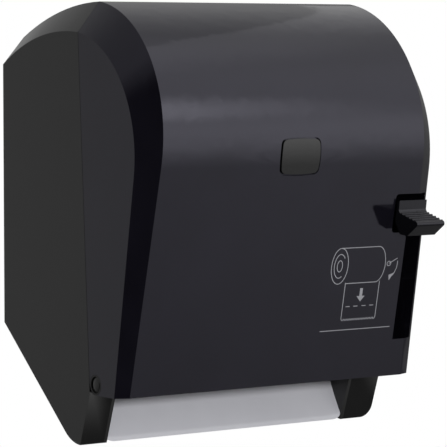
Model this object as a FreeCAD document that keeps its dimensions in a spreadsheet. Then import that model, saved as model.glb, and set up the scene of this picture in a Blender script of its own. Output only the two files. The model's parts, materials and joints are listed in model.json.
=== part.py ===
"""Wall-mounted lever dispenser for roll paper towels.

Frame: X to the right, Y towards the wall (the back face is y = 0), Z up, origin at the centre of the four
wall screw holes. Places are given as a depth (distance out from the wall) and a height (above the underside of
the two cheeks), and every sub-part is lowered by mount_height to bring the origin to the wall screws.
"""
import FreeCAD, Part
import math
import os
import re
import Sketcher
from FreeCAD import Placement, Rotation, Vector

SIZES = {
    # Case: rear housing and hinged front cover
    "width": 310.0,
    "wall": 3.0,
    "mount_height": 205.0,
    "rim_top_height": 320.5,  # top edge of the side wall at the back
    "rim_shoulder_depth": 60.0,
    "rim_shoulder_height": 344.3,
    "rim_crown_depth": 124.0,  # rim: the outline in the plane of the side walls
    "rim_crown_height": 348.0,
    "rim_belly_depth": 209.1,
    "rim_belly_height": 228.8,
    "rim_foot_depth": 178.7,
    "face_top_height": 344.3,  # face: the outline of the middle, inside the bevels
    "face_shoulder_height": 365.9,
    "face_crown_depth": 123.5,
    "face_crown_height": 373.9,
    "face_belly_depth": 222.6,
    "face_belly_height": 236.0,
    "face_foot_depth": 184.0,
    "bevel_at_crown": 22.0,
    "bevel_at_foot": 12.0,
    "cover_foot_height": 45.0,
    "seam_foot_depth": 141.0,
    "seam_gap": 0.35,
    "back_foot_height": 94.0,  # where the slanted underside meets the back
    "cheek_toe_depth": 125.5,
    "cheek_flat": 13.5,  # toe to the corner that the heel's arc rounds off
    "right_cheek_round": 11.0,
    "left_cheek_width": 26.5,
    "right_cheek_width": 33.7,
    "lip_depth": 6.0,
    # Wall fixing
    "wall_hole_spacing_wide": 150.0,
    "wall_hole_spacing_high": 120.0,
    "wall_hole_radius": 2.75,
    # Cover hinge
    "hinge_ahead": 9.0,  # hinge in front of the seam's foot
    "hinge_height": 53.6,
    "hinge_pin_radius": 4.0,
    "hinge_head_radius": 8.2,
    "hinge_head_thickness": 1.6,
    "hinge_clearance": 0.3,
    "running_clearance": 0.05,
    # Lever opening in the cover
    "window_clearance": 1.2,
    "window_height": 208.0,
    "window_sill_height": 174.0,
    "slot_clearance": 3.8,
    "slot_foot_height": 78.0,
    # Badge plate
    "badge_centre": 3.5,
    "badge_height": 243.6,
    "badge_width": 41.0,
    "badge_tall": 31.5,
    "badge_stand": 0.9,
    "badge_sink": 2.0,
    "badge_groove": 0.8,
    "badge_corner": 5.0,
    "badge_bulge": 1.2,
    # Chassis
    "plate_thickness": 3.0,
    "plate_top_height": 200.0,
    "plate_front_depth": 141.0,
    "flange_width": 16.0,
    "flange_low_height": 118.0,
    "flange_high_height": 186.0,
    "boss_height": 6.0,
    "screw_radius": 1.5,
    "screw_length": 8.5,
    "screw_head_radius": 3.2,
    "screw_head_height": 2.2,
    # Lever
    "lever_depth": 64.3,
    "lever_height": 166.5,
    "lever_pin_radius": 4.0,
    "lever_hub_radius": 13.0,
    "lever_arm_inset": 22.0,  # left side of the arm, from the right side wall
    "lever_arm_width": 11.0,
    "lever_arm_height": 16.0,
    "paddle_width": 30.3,
    "lever_reach": 150.0,
    "lever_rise": 18.27,  # degrees that the lever stands above its middle position
    "paddle_gap": 1.2,
    "spacer_radius": 7.5,
    "lever_spring_wire": 1.1,
    "sector_screw_reach": 9.0,
    "buffer_radius": 5.0,
    "buffer_peg_radius": 3.0,
    "buffer_reach": 62.0,
    # Gearing
    "gear_module": 1.25,
    "pinion_teeth": 16.0,
    "sector_teeth": 100.0,
    "gear_width": 6.0,
    "pinion_heading": 213.0,  # direction from the lever's axis to the feed axis, in degrees
    # Feed rollers
    "feed_shaft_radius": 4.0,
    "feed_bush_radius": 7.0,
    "clutch_radius": 6.0,
    "clip_thickness": 1.0,
    "feed_core_radius": 14.0,
    "feed_tyre_radius": 20.0,
    "tyre_width": 30.0,
    "tyre_pitch": 56.0,
    "tyre_count": 4.0,
    "pinch_shaft_radius": 3.0,
    "pinch_tyre_radius": 9.0,
    "nip_gap": 0.3,
    "block_half": 6.0,
    "block_cheek": 1.5,
    "pinch_spring_length": 12.0,
    "pinch_spring_radius": 3.2,
    "pinch_spring_wire": 0.9,
    # Guide panel
    "guide_thickness": 2.5,
    "guide_top_height": 78.0,
    "guide_top_back": 16.6,
    "guide_bend_height": 42.0,
    "guide_bend_back": 7.1,
    # Tear bar
    "tear_bar_step": 8.0,  # how far the bar stands in front of the paper
    "tear_bar_foot": 52.0,
    "tear_bar_tall": 24.0,
    "tear_bar_tab": 10.0,
    "tooth_pitch": 6.0,
    "tooth_depth": 4.0,
    "steel_thickness": 1.2,
    # Roll holder
    "roll_width": 205.0,
    "roll_depth": 108.0,
    "roll_height": 262.0,
    "core_radius": 18.5,
    "hub_flange_radius": 27.0,
    "hub_length": 16.0,
    "arm_thickness": 4.0,
    "arm_pivot_depth": 26.0,
    "arm_pin_radius": 2.5,
    "arm_spring_wire": 1.0,
    "arm_spring_room": 8.0,
    "knuckle_half": 17.0,
    "lug_thickness": 4.0,
    "bracket_half_height": 34.0,
    "bracket_screw_rise": 28.0,
    "stub_radius": 4.0,
    "hub_flange": 3.0,
    # Lock
    "lock_across": 20.0,
    "lock_depth": 98.0,
    "lock_radius": 9.0,
    "lock_plug_radius": 6.0,
    "lock_length": 15.0,
    "cam_reach": 22.0,
    "cam_width": 8.0,
    "cam_thickness": 2.5,
    "striker_width": 12.0,
    "striker_thickness": 2.0,
    "striker_drop": 6.1,  # from the cover's inner face down to the striker, at its front end
    "striker_back_depth": 90.0,
    "striker_front_depth": 150.0,
    "striker_lip": 16.0,
}

doc = FreeCAD.newDocument("lever_towel_dispenser")
sheet = doc.addObject("Spreadsheet::Sheet", "sizes")
for row, (alias, value) in enumerate(SIZES.items(), start=1):
    sheet.set(f"A{row}", alias)
    sheet.set(f"B{row}", str(value))
    sheet.setAlias(f"B{row}", alias)
doc.recompute()

nodes = []


def formula(text):
    """The text with each name of the sheet turned into a reference to its cell."""
    return re.sub(r"[a-z_]{3,}", lambda m: "sizes." + m[0] if m[0] in SIZES else m[0], text)


def size(text):
    """The value of a name, or of a formula of names, in millimetres or degrees."""
    if text in SIZES:
        return float(sheet.get(text))
    value = sheet.evalExpression(formula(text))
    return float(getattr(value, "Value", value))


def at(depth, height, across=0.0):
    return Vector(across, -depth, height)


# Places that several sub-parts share, as formulas of the sheet's names
LEFT_PLATE = "(left_cheek_width - width / 2)"  # faces of the chassis plates that look at each other
RIGHT_PLATE = "(width / 2 - right_cheek_width)"
MIDDLE = "((left_cheek_width - right_cheek_width) / 2)"
HEEL_DEPTH = "(cheek_toe_depth - cheek_flat)"
UNDERSIDE_LEAN = f"atan(back_foot_height / {HEEL_DEPTH})"
HEEL_RADIUS = f"(cheek_flat / tan({UNDERSIDE_LEAN} / 2))"
HINGE_DEPTH = "(seam_foot_depth + hinge_ahead)"
LEVER_LEFT = "(width / 2 - lever_arm_inset)"
LEVER_RIGHT = f"({LEVER_LEFT} + lever_arm_width)"
PADDLE_LEFT = f"({LEVER_RIGHT} - paddle_width)"
CHEEK_TOP = "(cover_foot_height - seam_gap)"
BOSS_FRONT = "(wall + boss_height)"
GEAR_DISTANCE = "(gear_module * (pinion_teeth + sector_teeth) / 2)"
FEED_DEPTH = f"(lever_depth - {GEAR_DISTANCE} * cos(pinion_heading))"
FEED_HEIGHT = f"(lever_height + {GEAR_DISTANCE} * sin(pinion_heading))"
NIP_DEPTH = f"({FEED_DEPTH} - feed_tyre_radius)"
PINCH_DEPTH = f"({NIP_DEPTH} - nip_gap - pinch_tyre_radius)"
BLOCK_BACK = f"({PINCH_DEPTH} - block_half)"
TEAR_DEPTH = f"({NIP_DEPTH} + tear_bar_step)"
TEAR_SCREW_DEPTH = f"({TEAR_DEPTH} - tear_bar_tab / 2)"
TEAR_SCREW_HEIGHT = "(tear_bar_foot + tear_bar_tall / 2 + 3)"
PINION_LEFT = f"({RIGHT_PLATE} + plate_thickness + hinge_clearance)"
PINION_RIGHT = f"({LEVER_LEFT} - 2 * clip_thickness)"
PANEL_LEAN = "atan((face_belly_depth - face_foot_depth) / (face_belly_height - cover_foot_height))"
LEVER_TILT = f"(lever_rise * 1deg - {PANEL_LEAN})"
BUFFER_RISE = "(lever_arm_height / 2 + buffer_radius + hinge_clearance)"
BUFFER_DEPTH = f"(lever_depth + buffer_reach * cos({LEVER_TILT}) - {BUFFER_RISE} * sin({LEVER_TILT}))"
BUFFER_HEIGHT = f"(lever_height + buffer_reach * sin({LEVER_TILT}) + {BUFFER_RISE} * cos({LEVER_TILT}))"
FLANGE_HEIGHTS = ("flange_low_height", "flange_high_height")


# ---------------------------------------------------------------- outlines of the case

def front_curve(edge):
    """Crown, belly, foot, inward normal, centre and radius of the cover's outline on an edge (rim or face).

    The panel is straight from foot to belly, and one arc, tangent to it, goes on from the belly to the crown.
    """
    crown = at(size(edge + "_crown_depth"), size(edge + "_crown_height"))
    belly = at(size(edge + "_belly_depth"), size(edge + "_belly_height"))
    foot = at(size(edge + "_foot_depth"), size("cover_foot_height"))
    fall = (foot - belly).normalize()
    inward = Vector(0, -fall.z, fall.y)
    chord = crown - belly
    radius = chord.dot(chord) / (2 * chord.dot(inward))
    return belly, foot, fall, inward, belly + inward * radius, radius


def seam_depth(height):
    """Depth of the seam between housing and cover: a straight line that leans forward towards its foot."""
    top_depth = size("rim_crown_depth")
    top_height = size("rim_crown_height")
    share = (top_height - height) / (top_height - size("cover_foot_height"))
    return top_depth + share * (size("seam_foot_depth") - top_depth)


def bevel(height):
    """Width of the bevel between side wall and middle, which narrows from the crown to the foot."""
    foot = size("cover_foot_height")
    share = (height - foot) / (size("face_crown_height") - foot)
    return size("bevel_at_foot") + share * (size("bevel_at_crown") - size("bevel_at_foot"))


def loft_across(outline, gap):
    """Ruled solid through four sections: side, bevel edge, bevel edge, side. gap moves all of it inwards."""
    half = size("width") / 2
    corner = 0.41 * gap  # what a wall's offset takes off at a corner of half a right angle
    sections = []
    for edge, sign in (("rim", -1), ("face", -1), ("face", 1), ("rim", 1)):
        def place(point, edge=edge, sign=sign):
            inset = gap if edge == "rim" else bevel(point.z) + corner
            return Vector(sign * (half - inset), point.y, point.z)
        sections.append(outline(edge, corner if edge == "rim" else gap, place))
    return Part.makeLoft(sections, True, True)


def wire_through(start, stretches, place):
    """Closed wire: each stretch is a point to go straight to, or the middle and end of an arc."""
    start = place(start)
    edges, here = [], start
    for stretch in stretches:
        if isinstance(stretch, tuple):
            middle, end = (place(point) for point in stretch)
            edges.append(Part.Arc(here, middle, end).toShape())
        else:
            end = place(stretch)
            edges.append(Part.makeLine(here, end))
        here = end
    return Part.Wire(edges + [Part.makeLine(here, start)])


def front_form(gap, floor_height, back_depth):
    """Solid inside the cover's outer surface, as far back as back_depth, less a wall of gap."""
    def outline(edge, inset, place):
        belly, foot, fall, inward, centre, radius = front_curve(edge)
        radius -= inset
        back = -back_depth - centre.y
        top = centre + Vector(0, back, math.sqrt(radius ** 2 - back ** 2))
        low = centre - inward * radius
        middle = centre + ((top - centre) + (low - centre)).normalize() * radius
        end = low + fall * ((floor_height - low.z) / fall.z)
        return wire_through(top, [(middle, low), end, at(back_depth, floor_height)], place)
    return loft_across(outline, gap)


def underside(offset, height):
    """Point at a height on the slanted underside, moved in by offset."""
    heel = at(size(HEEL_DEPTH), 0)
    back = at(0, size("back_foot_height"))
    rise = (back - heel).normalize()
    inside = heel + Vector(0, -rise.z, rise.y) * offset
    return inside + rise * ((height - inside.z) / rise.z)


def underside_at_depth(offset, depth):
    heel = underside(offset, 0)
    return at(depth, (-heel.y - depth) * math.tan(math.radians(size(UNDERSIDE_LEAN))))


def heel_point(offset, lean):
    """Point of the heel's arc, moved in by offset, where the underside leans by an angle in degrees."""
    radius, angle = size(HEEL_RADIUS), math.radians(lean)
    return at(size("cheek_toe_depth") - (radius - offset) * math.sin(angle), radius - (radius - offset) * math.cos(angle))


def heel_arc(offset, start_lean=0.0):
    """Middle and end of the heel's arc from a start up to the slanted underside."""
    end_lean = size(UNDERSIDE_LEAN)
    return heel_point(offset, (start_lean + end_lean) / 2), heel_point(offset, end_lean)


def cheek_front(height):
    """Depth of the front of the cheeks, which slants back to the toe."""
    share = height / size("cover_foot_height")
    return size("cheek_toe_depth") + share * (size("seam_foot_depth") - size("cheek_toe_depth"))


def top_points(edge):
    """Back, shoulder and crown of the housing's top outline on an edge (rim or face)."""
    crown_height = size(edge + "_crown_height")
    return (at(0, size(edge + "_top_height")), at(size("rim_shoulder_depth"), size(edge + "_shoulder_height")),
            at(seam_depth(crown_height), crown_height))


def top_height_at(edge, depth):
    """Height of the housing's top outline at a depth."""
    circle = Part.Arc(*top_points(edge)).toShape().Curve
    return circle.Center.z + math.sqrt(circle.Radius ** 2 - (-depth - circle.Center.y) ** 2)


def foot_corner(inset):
    """What the rounding of the right cheek's outer lower corner takes off, moved in by inset."""
    radius, half = size("right_cheek_round"), size("width") / 2
    far = size("rim_belly_depth")
    block = box(half - radius, half + 1, -1, far, -1, radius)
    return block.cut(Part.makeCylinder(radius - inset, far + 1, at(far, radius, half - radius), Vector(0, 1, 0)))


def rear_form():
    """Outer solid of the rear housing, bounded by the seam and the fronts of the cheeks.

    It is lofted to a little behind the wall plane and cut there, so that its back is one flat face.
    """
    def outline(edge, inset, place):
        back, shoulder, crown = top_points(edge)
        cheek_top = size(CHEEK_TOP)
        stretches = [(shoulder, crown), at(cheek_front(cheek_top), cheek_top), at(size("cheek_toe_depth"), 0),
                     heel_arc(0), underside_at_depth(0, -1)]
        return wire_through(at(-1, top_height_at(edge, -1)), stretches, place)
    half = size("width") / 2 + 1
    in_front = box(-half, half, 0, size("rim_belly_depth"), -1, size("face_crown_height") + 1)
    return loft_across(outline, 0).common(in_front).cut(foot_corner(0))


def rear_cavity():
    """Space inside the rear housing: open to the cover above the cheeks, closed in front within them."""
    gap = size("wall")
    far = size("rim_belly_depth")

    def outline(edge, inset, place):
        inset = max(inset, gap)
        shoulder = at(size("rim_shoulder_depth"), size(edge + "_shoulder_height") - inset)
        crown = at(size(edge + "_crown_depth"), size(edge + "_crown_height") - inset)
        cheek_top = size(CHEEK_TOP)
        back_by = size("cheek_toe_depth") - cheek_front(gap) + gap
        toe_lean = math.degrees(math.asin(back_by / (size(HEEL_RADIUS) - gap)))
        stretches = [(shoulder, crown), at(far, crown.z), at(far, cheek_top),
                     at(cheek_front(cheek_top) - gap, cheek_top), heel_point(gap, toe_lean), heel_arc(gap, toe_lean),
                     underside_at_depth(gap, gap)]
        return wire_through(at(gap, size(edge + "_top_height") - inset), stretches, place)
    return loft_across(outline, gap).cut(foot_corner(gap))


# ---------------------------------------------------------------- building blocks

def prism(points, left, right):
    """Solid with a side outline in the YZ plane, from x = left to x = right."""
    points = [Vector(left, p.y, p.z) for p in points]
    face = Part.Face(Part.makePolygon(points + points[:1]))
    return face.extrude(Vector(right - left, 0, 0))


def box(left, right, back, front, low, high):
    """Box between two places across, two depths and two heights."""
    return Part.makeBox(right - left, front - back, high - low, Vector(left, -front, low))


def rod(radius, left, right, depth, height):
    """Cylinder along X."""
    return Part.makeCylinder(radius, right - left, Vector(left, -depth, height), Vector(1, 0, 0))


def upright_rod(radius, across, depth, low, high):
    """Cylinder along Z."""
    return Part.makeCylinder(radius, high - low, at(depth, low, across))


def edges_along(shape, direction, wanted=lambda centre: True):
    """Straight edges of a shape that run in a direction and whose middle is wanted."""
    found = []
    for edge in shape.Edges:
        if not isinstance(edge.Curve, Part.Line):
            continue
        along = edge.tangentAt(edge.FirstParameter)
        if abs(along.dot(direction)) > 0.999 and wanted(edge.CenterOfMass):
            found.append(edge)
    return found


def lowered(obj):
    """Brings a sub-part from heights above the cheeks' underside to heights above the wall screws."""
    obj.setExpression("Placement.Base.z", formula("-mount_height"))
    nodes.append(obj)
    return obj


def solid_node(label, shape):
    """Sub-part whose shape is set from Part's functions."""
    obj = doc.addObject("Part::Feature", label)
    obj.Shape = shape
    obj.Placement = Placement()
    return lowered(obj)


def body_node(label):
    body = doc.addObject("PartDesign::Body", label)
    body.Label = label
    return lowered(body)


def sketch_on(body, role, offset="0"):
    """Sketch on one of the body's own origin planes, moved along the plane's normal."""
    sketch = body.newObject("Sketcher::SketchObject", body.Name + "_sketch")
    plane = next(f for f in body.Origin.OriginFeatures if f.Role == role)
    sketch.AttachmentSupport = [(plane, "")]
    sketch.MapMode = "FlatFace"
    sketch.setExpression("AttachmentOffset.Base.z", formula(offset))
    return sketch


def dimension(sketch, kind, geometry, point, text):
    index = sketch.addConstraint(Sketcher.Constraint(kind, -1, 1, geometry, point, size(text)))
    sketch.setExpression(f"Constraints[{index}]", formula(text))


def draw_outline(sketch, corners):
    """Closed outline of straight lines, each corner held to the origin by two dimensions from the sheet."""
    first = sketch.GeometryCount
    places = [Vector(size(a), size(b), 0) for a, b in corners]
    count = len(corners)
    for start, end in zip(places, places[1:] + places[:1]):
        sketch.addGeometry(Part.LineSegment(start, end))
    for i in range(count):
        sketch.addConstraint(Sketcher.Constraint("Coincident", first + i, 2, first + (i + 1) % count, 1))
    for i, (across, up) in enumerate(corners):
        dimension(sketch, "DistanceX", first + i, 1, across)
        dimension(sketch, "DistanceY", first + i, 1, up)


def draw_circle(sketch, across, up, radius):
    centre = Vector(size(across), size(up), 0)
    circle = sketch.addGeometry(Part.Circle(centre, Vector(0, 0, 1), size(radius)))
    dimension(sketch, "DistanceX", circle, 3, across)
    dimension(sketch, "DistanceY", circle, 3, up)
    index = sketch.addConstraint(Sketcher.Constraint("Radius", circle, size(radius)))
    sketch.setExpression(f"Constraints[{index}]", formula(radius))


def pad(body, sketch, length, reverse=False):
    feature = body.newObject("PartDesign::Pad", body.Name + "_pad")
    feature.Profile = sketch
    feature.Reversed = reverse
    feature.setExpression("Length", formula(length))
    sketch.Visibility = False
    return feature


def pocket_through(body, sketch):
    feature = body.newObject("PartDesign::Pocket", body.Name + "_pocket")
    feature.Profile = sketch
    feature.Type = "ThroughAll"
    feature.Midplane = True
    return feature


def turned_node(label, profile, across, depth, height):
    """Round sub-part on an axis along X: profile corners are (along the axis, radius)."""
    body = body_node(label)
    sketch = sketch_on(body, "XZ_Plane")
    draw_outline(sketch, profile)
    turn = body.newObject("PartDesign::Revolution", label + "_turn")
    turn.Profile = sketch
    turn.ReferenceAxis = (sketch, ["H_Axis"])
    turn.Angle = 360
    body.setExpression("Placement.Base.x", formula(across))
    body.setExpression("Placement.Base.y", formula(f"-({depth})"))
    body.setExpression("Placement.Base.z", formula(f"({height}) - mount_height"))
    return body


def both_sides(make):
    """The two mirror-image shapes that make(sign) gives for the left (-1) and the right (1)."""
    return [make(-1), make(1)]


def spread(sign, near, far):
    """Left and right ends of something from near to far off the middle, on one side."""
    return (near, far) if sign > 0 else (-far, -near)


# ---------------------------------------------------------------- rear housing

def hinge_ear(sign):
    """Lug inside the side wall that carries the hinge pin, reaching forward past the seam."""
    half = size("width") / 2
    outside = half - size("wall") - size("hinge_clearance")
    radius = 2 * size("hinge_pin_radius")
    depth, height = size(HINGE_DEPTH), size("hinge_height")
    left, right = spread(sign, outside - size("wall"), outside)
    lug = rod(radius, left, right, depth, height)
    lug = lug.fuse(box(left, right, depth - 4 * radius, depth, height - radius, height + radius))
    root_left, root_right = spread(sign, outside - size("wall"), half - size("wall"))
    root_front = seam_depth(height) - size("wall")
    return lug.fuse(box(root_left, root_right, depth - 4 * radius, root_front, height - radius, height + radius))


def boss(across, height):
    """Post on the back wall that a screw goes into."""
    front = size(BOSS_FRONT)
    return Part.makeCylinder(5, front - size("wall"), at(front, height, across), Vector(0, 1, 0))


def screw_hole(across, height):
    front = size(BOSS_FRONT)
    radius = size("screw_radius") + size("running_clearance")
    return Part.makeCylinder(radius, front - 1, at(front, height, across), Vector(0, 1, 0))


def flange_screw_places():
    """Across and height of each screw that holds the chassis plates."""
    inset = size("flange_width") / 2
    return [(x, size(z)) for x in (size(LEFT_PLATE) + inset, size(RIGHT_PLATE) - inset) for z in FLANGE_HEIGHTS]


def bracket_across(sign):
    """Place across of the pivot of one roll arm."""
    return size(f"{MIDDLE} + ({sign}) * (roll_width / 2 + hub_flange + hinge_clearance + arm_thickness / 2)")


def bracket_screw_places():
    rise = size("bracket_screw_rise")
    return [(bracket_across(sign), size("roll_height") + up) for sign in (-1, 1) for up in (-rise, rise)]


def lever_pegs():
    """Pegs inside the right side wall: one for the lever's rubber buffer, one for its spring."""
    right = size("width") / 2 - size("wall") + 0.1
    buffer = rod(size("buffer_peg_radius"), size(LEVER_LEFT) + 1, right, size(BUFFER_DEPTH), size(BUFFER_HEIGHT))
    place = lever_point(SPRING_RADIUS - SPRING_WIRE / 2 - size("hinge_clearance") - 2, -SPRING_RADIUS - 5)
    return [buffer, rod(2, size(LEVER_RIGHT) + 2.5, right, -place.y, place.z)]


def lock_seat():
    """Height of the flat that the lock's flange sits on, just below the housing's top at its back edge."""
    return top_height_at("face", size("lock_depth") - size("lock_radius") - 2) - 0.5


def lock_boss():
    """Boss under the housing's top that the lock's nut is tightened against."""
    boss_foot = lock_seat() - 2 * size("wall")
    return upright_rod(size("lock_radius") + 5, size("lock_across"), size("lock_depth"), boss_foot, boss_foot + 30
                       ).common(rear_form())


def rear_housing():
    """Housing on the wall: back, sides, top, slanted floor and the two hollow cheeks."""
    half = size("width") / 2
    wall = size("wall")
    shape = rear_form().cut(rear_cavity())
    # Between the chassis plates the housing ends at the slanted floor, where the guide panel begins
    throat_left = size(LEFT_PLATE) - size("plate_thickness")
    throat_right = size(RIGHT_PLATE) + size("plate_thickness")
    far = size("rim_belly_depth")
    cheek_top = size(CHEEK_TOP)
    lean = size(UNDERSIDE_LEAN)
    below = heel_point(-wall, lean)
    throat = [at(far, -wall), at(far, cheek_top), underside(wall, cheek_top), heel_point(wall, lean), below,
              at(-below.y, -wall)]
    shape = shape.cut(prism(throat, throat_left, throat_right))
    places = flange_screw_places() + bracket_screw_places()
    lever_boss = rod(2 * size("lever_pin_radius"), half - 2 * wall, half - wall + 0.1, size("lever_depth"),
                     size("lever_height"))
    posts = [boss(x, z) for x, z in places] + [lever_boss, lock_boss()] + lever_pegs()
    shape = shape.multiFuse(both_sides(hinge_ear) + posts)
    # Holes: wall screws, chassis screws, hinge pins, lever pin, lock
    cuts = [screw_hole(x, z) for x, z in places]
    for across in (-0.5, 0.5):
        for up in (-0.5, 0.5):
            place = at(wall, size("mount_height") + up * size("wall_hole_spacing_high"),
                       across * size("wall_hole_spacing_wide"))
            cuts.append(Part.makeCylinder(size("wall_hole_radius"), wall, place, Vector(0, 1, 0)))
    pin_hole = size("hinge_pin_radius") + size("running_clearance")
    for left, right in (spread(sign, half - 4 * wall, half - wall) for sign in (-1, 1)):
        cuts.append(rod(pin_hole, left, right, size(HINGE_DEPTH), size("hinge_height")))
    cuts.append(rod(size("lever_pin_radius") + size("running_clearance"), half - 2 * wall, half - wall,
                    size("lever_depth"), size("lever_height")))
    cuts.append(upright_rod(size("lock_radius") + size("running_clearance"), size("lock_across"), size("lock_depth"),
                            lock_seat() - 10, lock_seat() + 10))
    cuts.append(upright_rod(size("lock_radius") + 2 + size("hinge_clearance"), size("lock_across"),
                            size("lock_depth"), lock_seat(), lock_seat() + 10))
    return shape.cut(Part.makeCompound(cuts))


# ---------------------------------------------------------------- front cover

def badge_outline(grow):
    """Rounded square whose four sides bulge a little, as a solid along Y."""
    half_wide = size("badge_width") / 2 + grow
    half_tall = size("badge_tall") / 2 + grow
    bulge = size("badge_bulge")
    centre = Vector(size("badge_centre"), 0, size("badge_height"))
    corners = [(-1, -1), (1, -1), (1, 1), (-1, 1)]
    edges = []
    for (ax, az), (bx, bz) in zip(corners, corners[1:] + corners[:1]):
        start = centre + Vector(ax * (half_wide - bulge), 0, az * (half_tall - bulge))
        end = centre + Vector(bx * (half_wide - bulge), 0, bz * (half_tall - bulge))
        outwards = Vector((ax + bx) / 2 * half_wide, 0, (az + bz) / 2 * half_tall)
        edges.append(Part.Arc(start, centre + outwards, end).toShape())
    solid = Part.Face(Part.Wire(edges)).extrude(Vector(0, -size("face_belly_depth") - 40, 0))
    uprights = edges_along(solid, Vector(0, 1, 0))
    return solid.makeFillet(size("badge_corner") + grow, uprights)


def lever_opening():
    """Cutter for the window that the paddle passes and the slot that the arm travels in."""
    right = size("width") / 2 - size("wall")
    far = size("face_belly_depth") + 30
    near = size("face_foot_depth") - 20
    window_left = size(f"{PADDLE_LEFT} - window_clearance")
    slot_left = size(f"{LEVER_LEFT} - slot_clearance")
    window = box(window_left, right, near, far, size("window_sill_height"), size("window_height"))
    window = window.makeFillet(3.0, edges_along(window, Vector(0, 1, 0), lambda c: c.x < right - 1))
    slot = box(slot_left, right, near, far, size("slot_foot_height"), size("window_sill_height") + 5)
    cutter = window.fuse(slot).removeSplitter()

    def at_step(centre):
        return abs(centre.x - slot_left) < 1 and abs(centre.z - size("window_sill_height")) < 1
    return cutter.makeFillet(6.0, edges_along(cutter, Vector(0, 1, 0), at_step))


def front_cover():
    """Cover in one moulding: straight panel, round crown, bevelled sides and a stiffening lip at its foot."""
    half = size("width") / 2
    wall = size("wall")
    foot = size("cover_foot_height")
    behind = size("rim_crown_depth") - 20
    shell = front_form(0, foot, behind).cut(front_form(wall, foot - 20, behind - 10))
    # Everything behind the seam goes, less the gap
    top, low = 420.0, 0.0
    seam = [at(seam_depth(top) + size("seam_gap"), top), at(seam_depth(low) + size("seam_gap"), low),
            at(0, low), at(0, top)]
    shell = shell.cut(prism(seam, -half - 1, half + 1))
    # The lower rear corners are round about the hinge, so that they clear the seam as the cover swings
    depth, height = size(HINGE_DEPTH), size("hinge_height")
    ear_radius = height - foot
    corner = box(-half - 1, half + 1, depth - 20, depth, foot - 1, height)
    corner = corner.cut(rod(ear_radius, -half - 1, half + 1, depth, height))
    shell = shell.cut(corner)
    lip = front_form(wall / 2, foot, behind).common(
        box(-half, half, size("face_foot_depth") - 2 * wall - size("lip_depth"), 400, foot, foot + wall))
    lip = lip.cut(front_form(wall + size("lip_depth"), foot - 20, behind - 10))
    side_room = half - bevel(foot) - wall
    shell = shell.fuse(lip.common(box(-side_room, side_room, 0, 400, 0, 100)))
    cuts = [lever_opening()]
    for sign in (-1, 1):
        left, right = spread(sign, half - wall - 1, half + 1)
        cuts.append(rod(size("hinge_pin_radius") + size("running_clearance"), left, right, depth, height))
        head = size("hinge_head_thickness") + size("running_clearance")
        left, right = spread(sign, half - head, half + 1)
        cuts.append(rod(size("hinge_head_radius") + size("hinge_clearance"), left, right, depth, height))
    shell = shell.cut(Part.makeCompound(cuts))
    seat = badge_outline(size("badge_groove")).cut(front_form(size("badge_sink"), foot - 20, behind - 10))
    return shell.cut(seat)


def badge_plate():
    """Bare snap-in plate whose face follows the panel."""
    foot = size("cover_foot_height") - 20
    layer = front_form(-size("badge_stand"), foot, 100).cut(front_form(size("badge_sink"), foot, 100))
    plate = layer.common(badge_outline(0))
    return plate


def hinge_pins():
    """Shoulder pins with a dished head that lies flush in the cover's side."""
    half = size("width") / 2
    thick = size("hinge_head_thickness")
    pins = []
    for sign in (-1, 1):
        left, right = spread(sign, half - thick, half)
        pin = rod(size("hinge_head_radius"), left, right, size(HINGE_DEPTH), size("hinge_height"))
        left, right = spread(sign, half - 4 * size("wall") + 1, half - thick / 2)
        pin = pin.fuse(rod(size("hinge_pin_radius"), left, right, size(HINGE_DEPTH), size("hinge_height")))
        dish = Part.makeSphere(24, at(size(HINGE_DEPTH), size("hinge_height"), sign * (half + 24 - 0.9)))
        pins.append(pin.cut(dish))
    return Part.makeCompound(pins)


# ---------------------------------------------------------------- chassis

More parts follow.
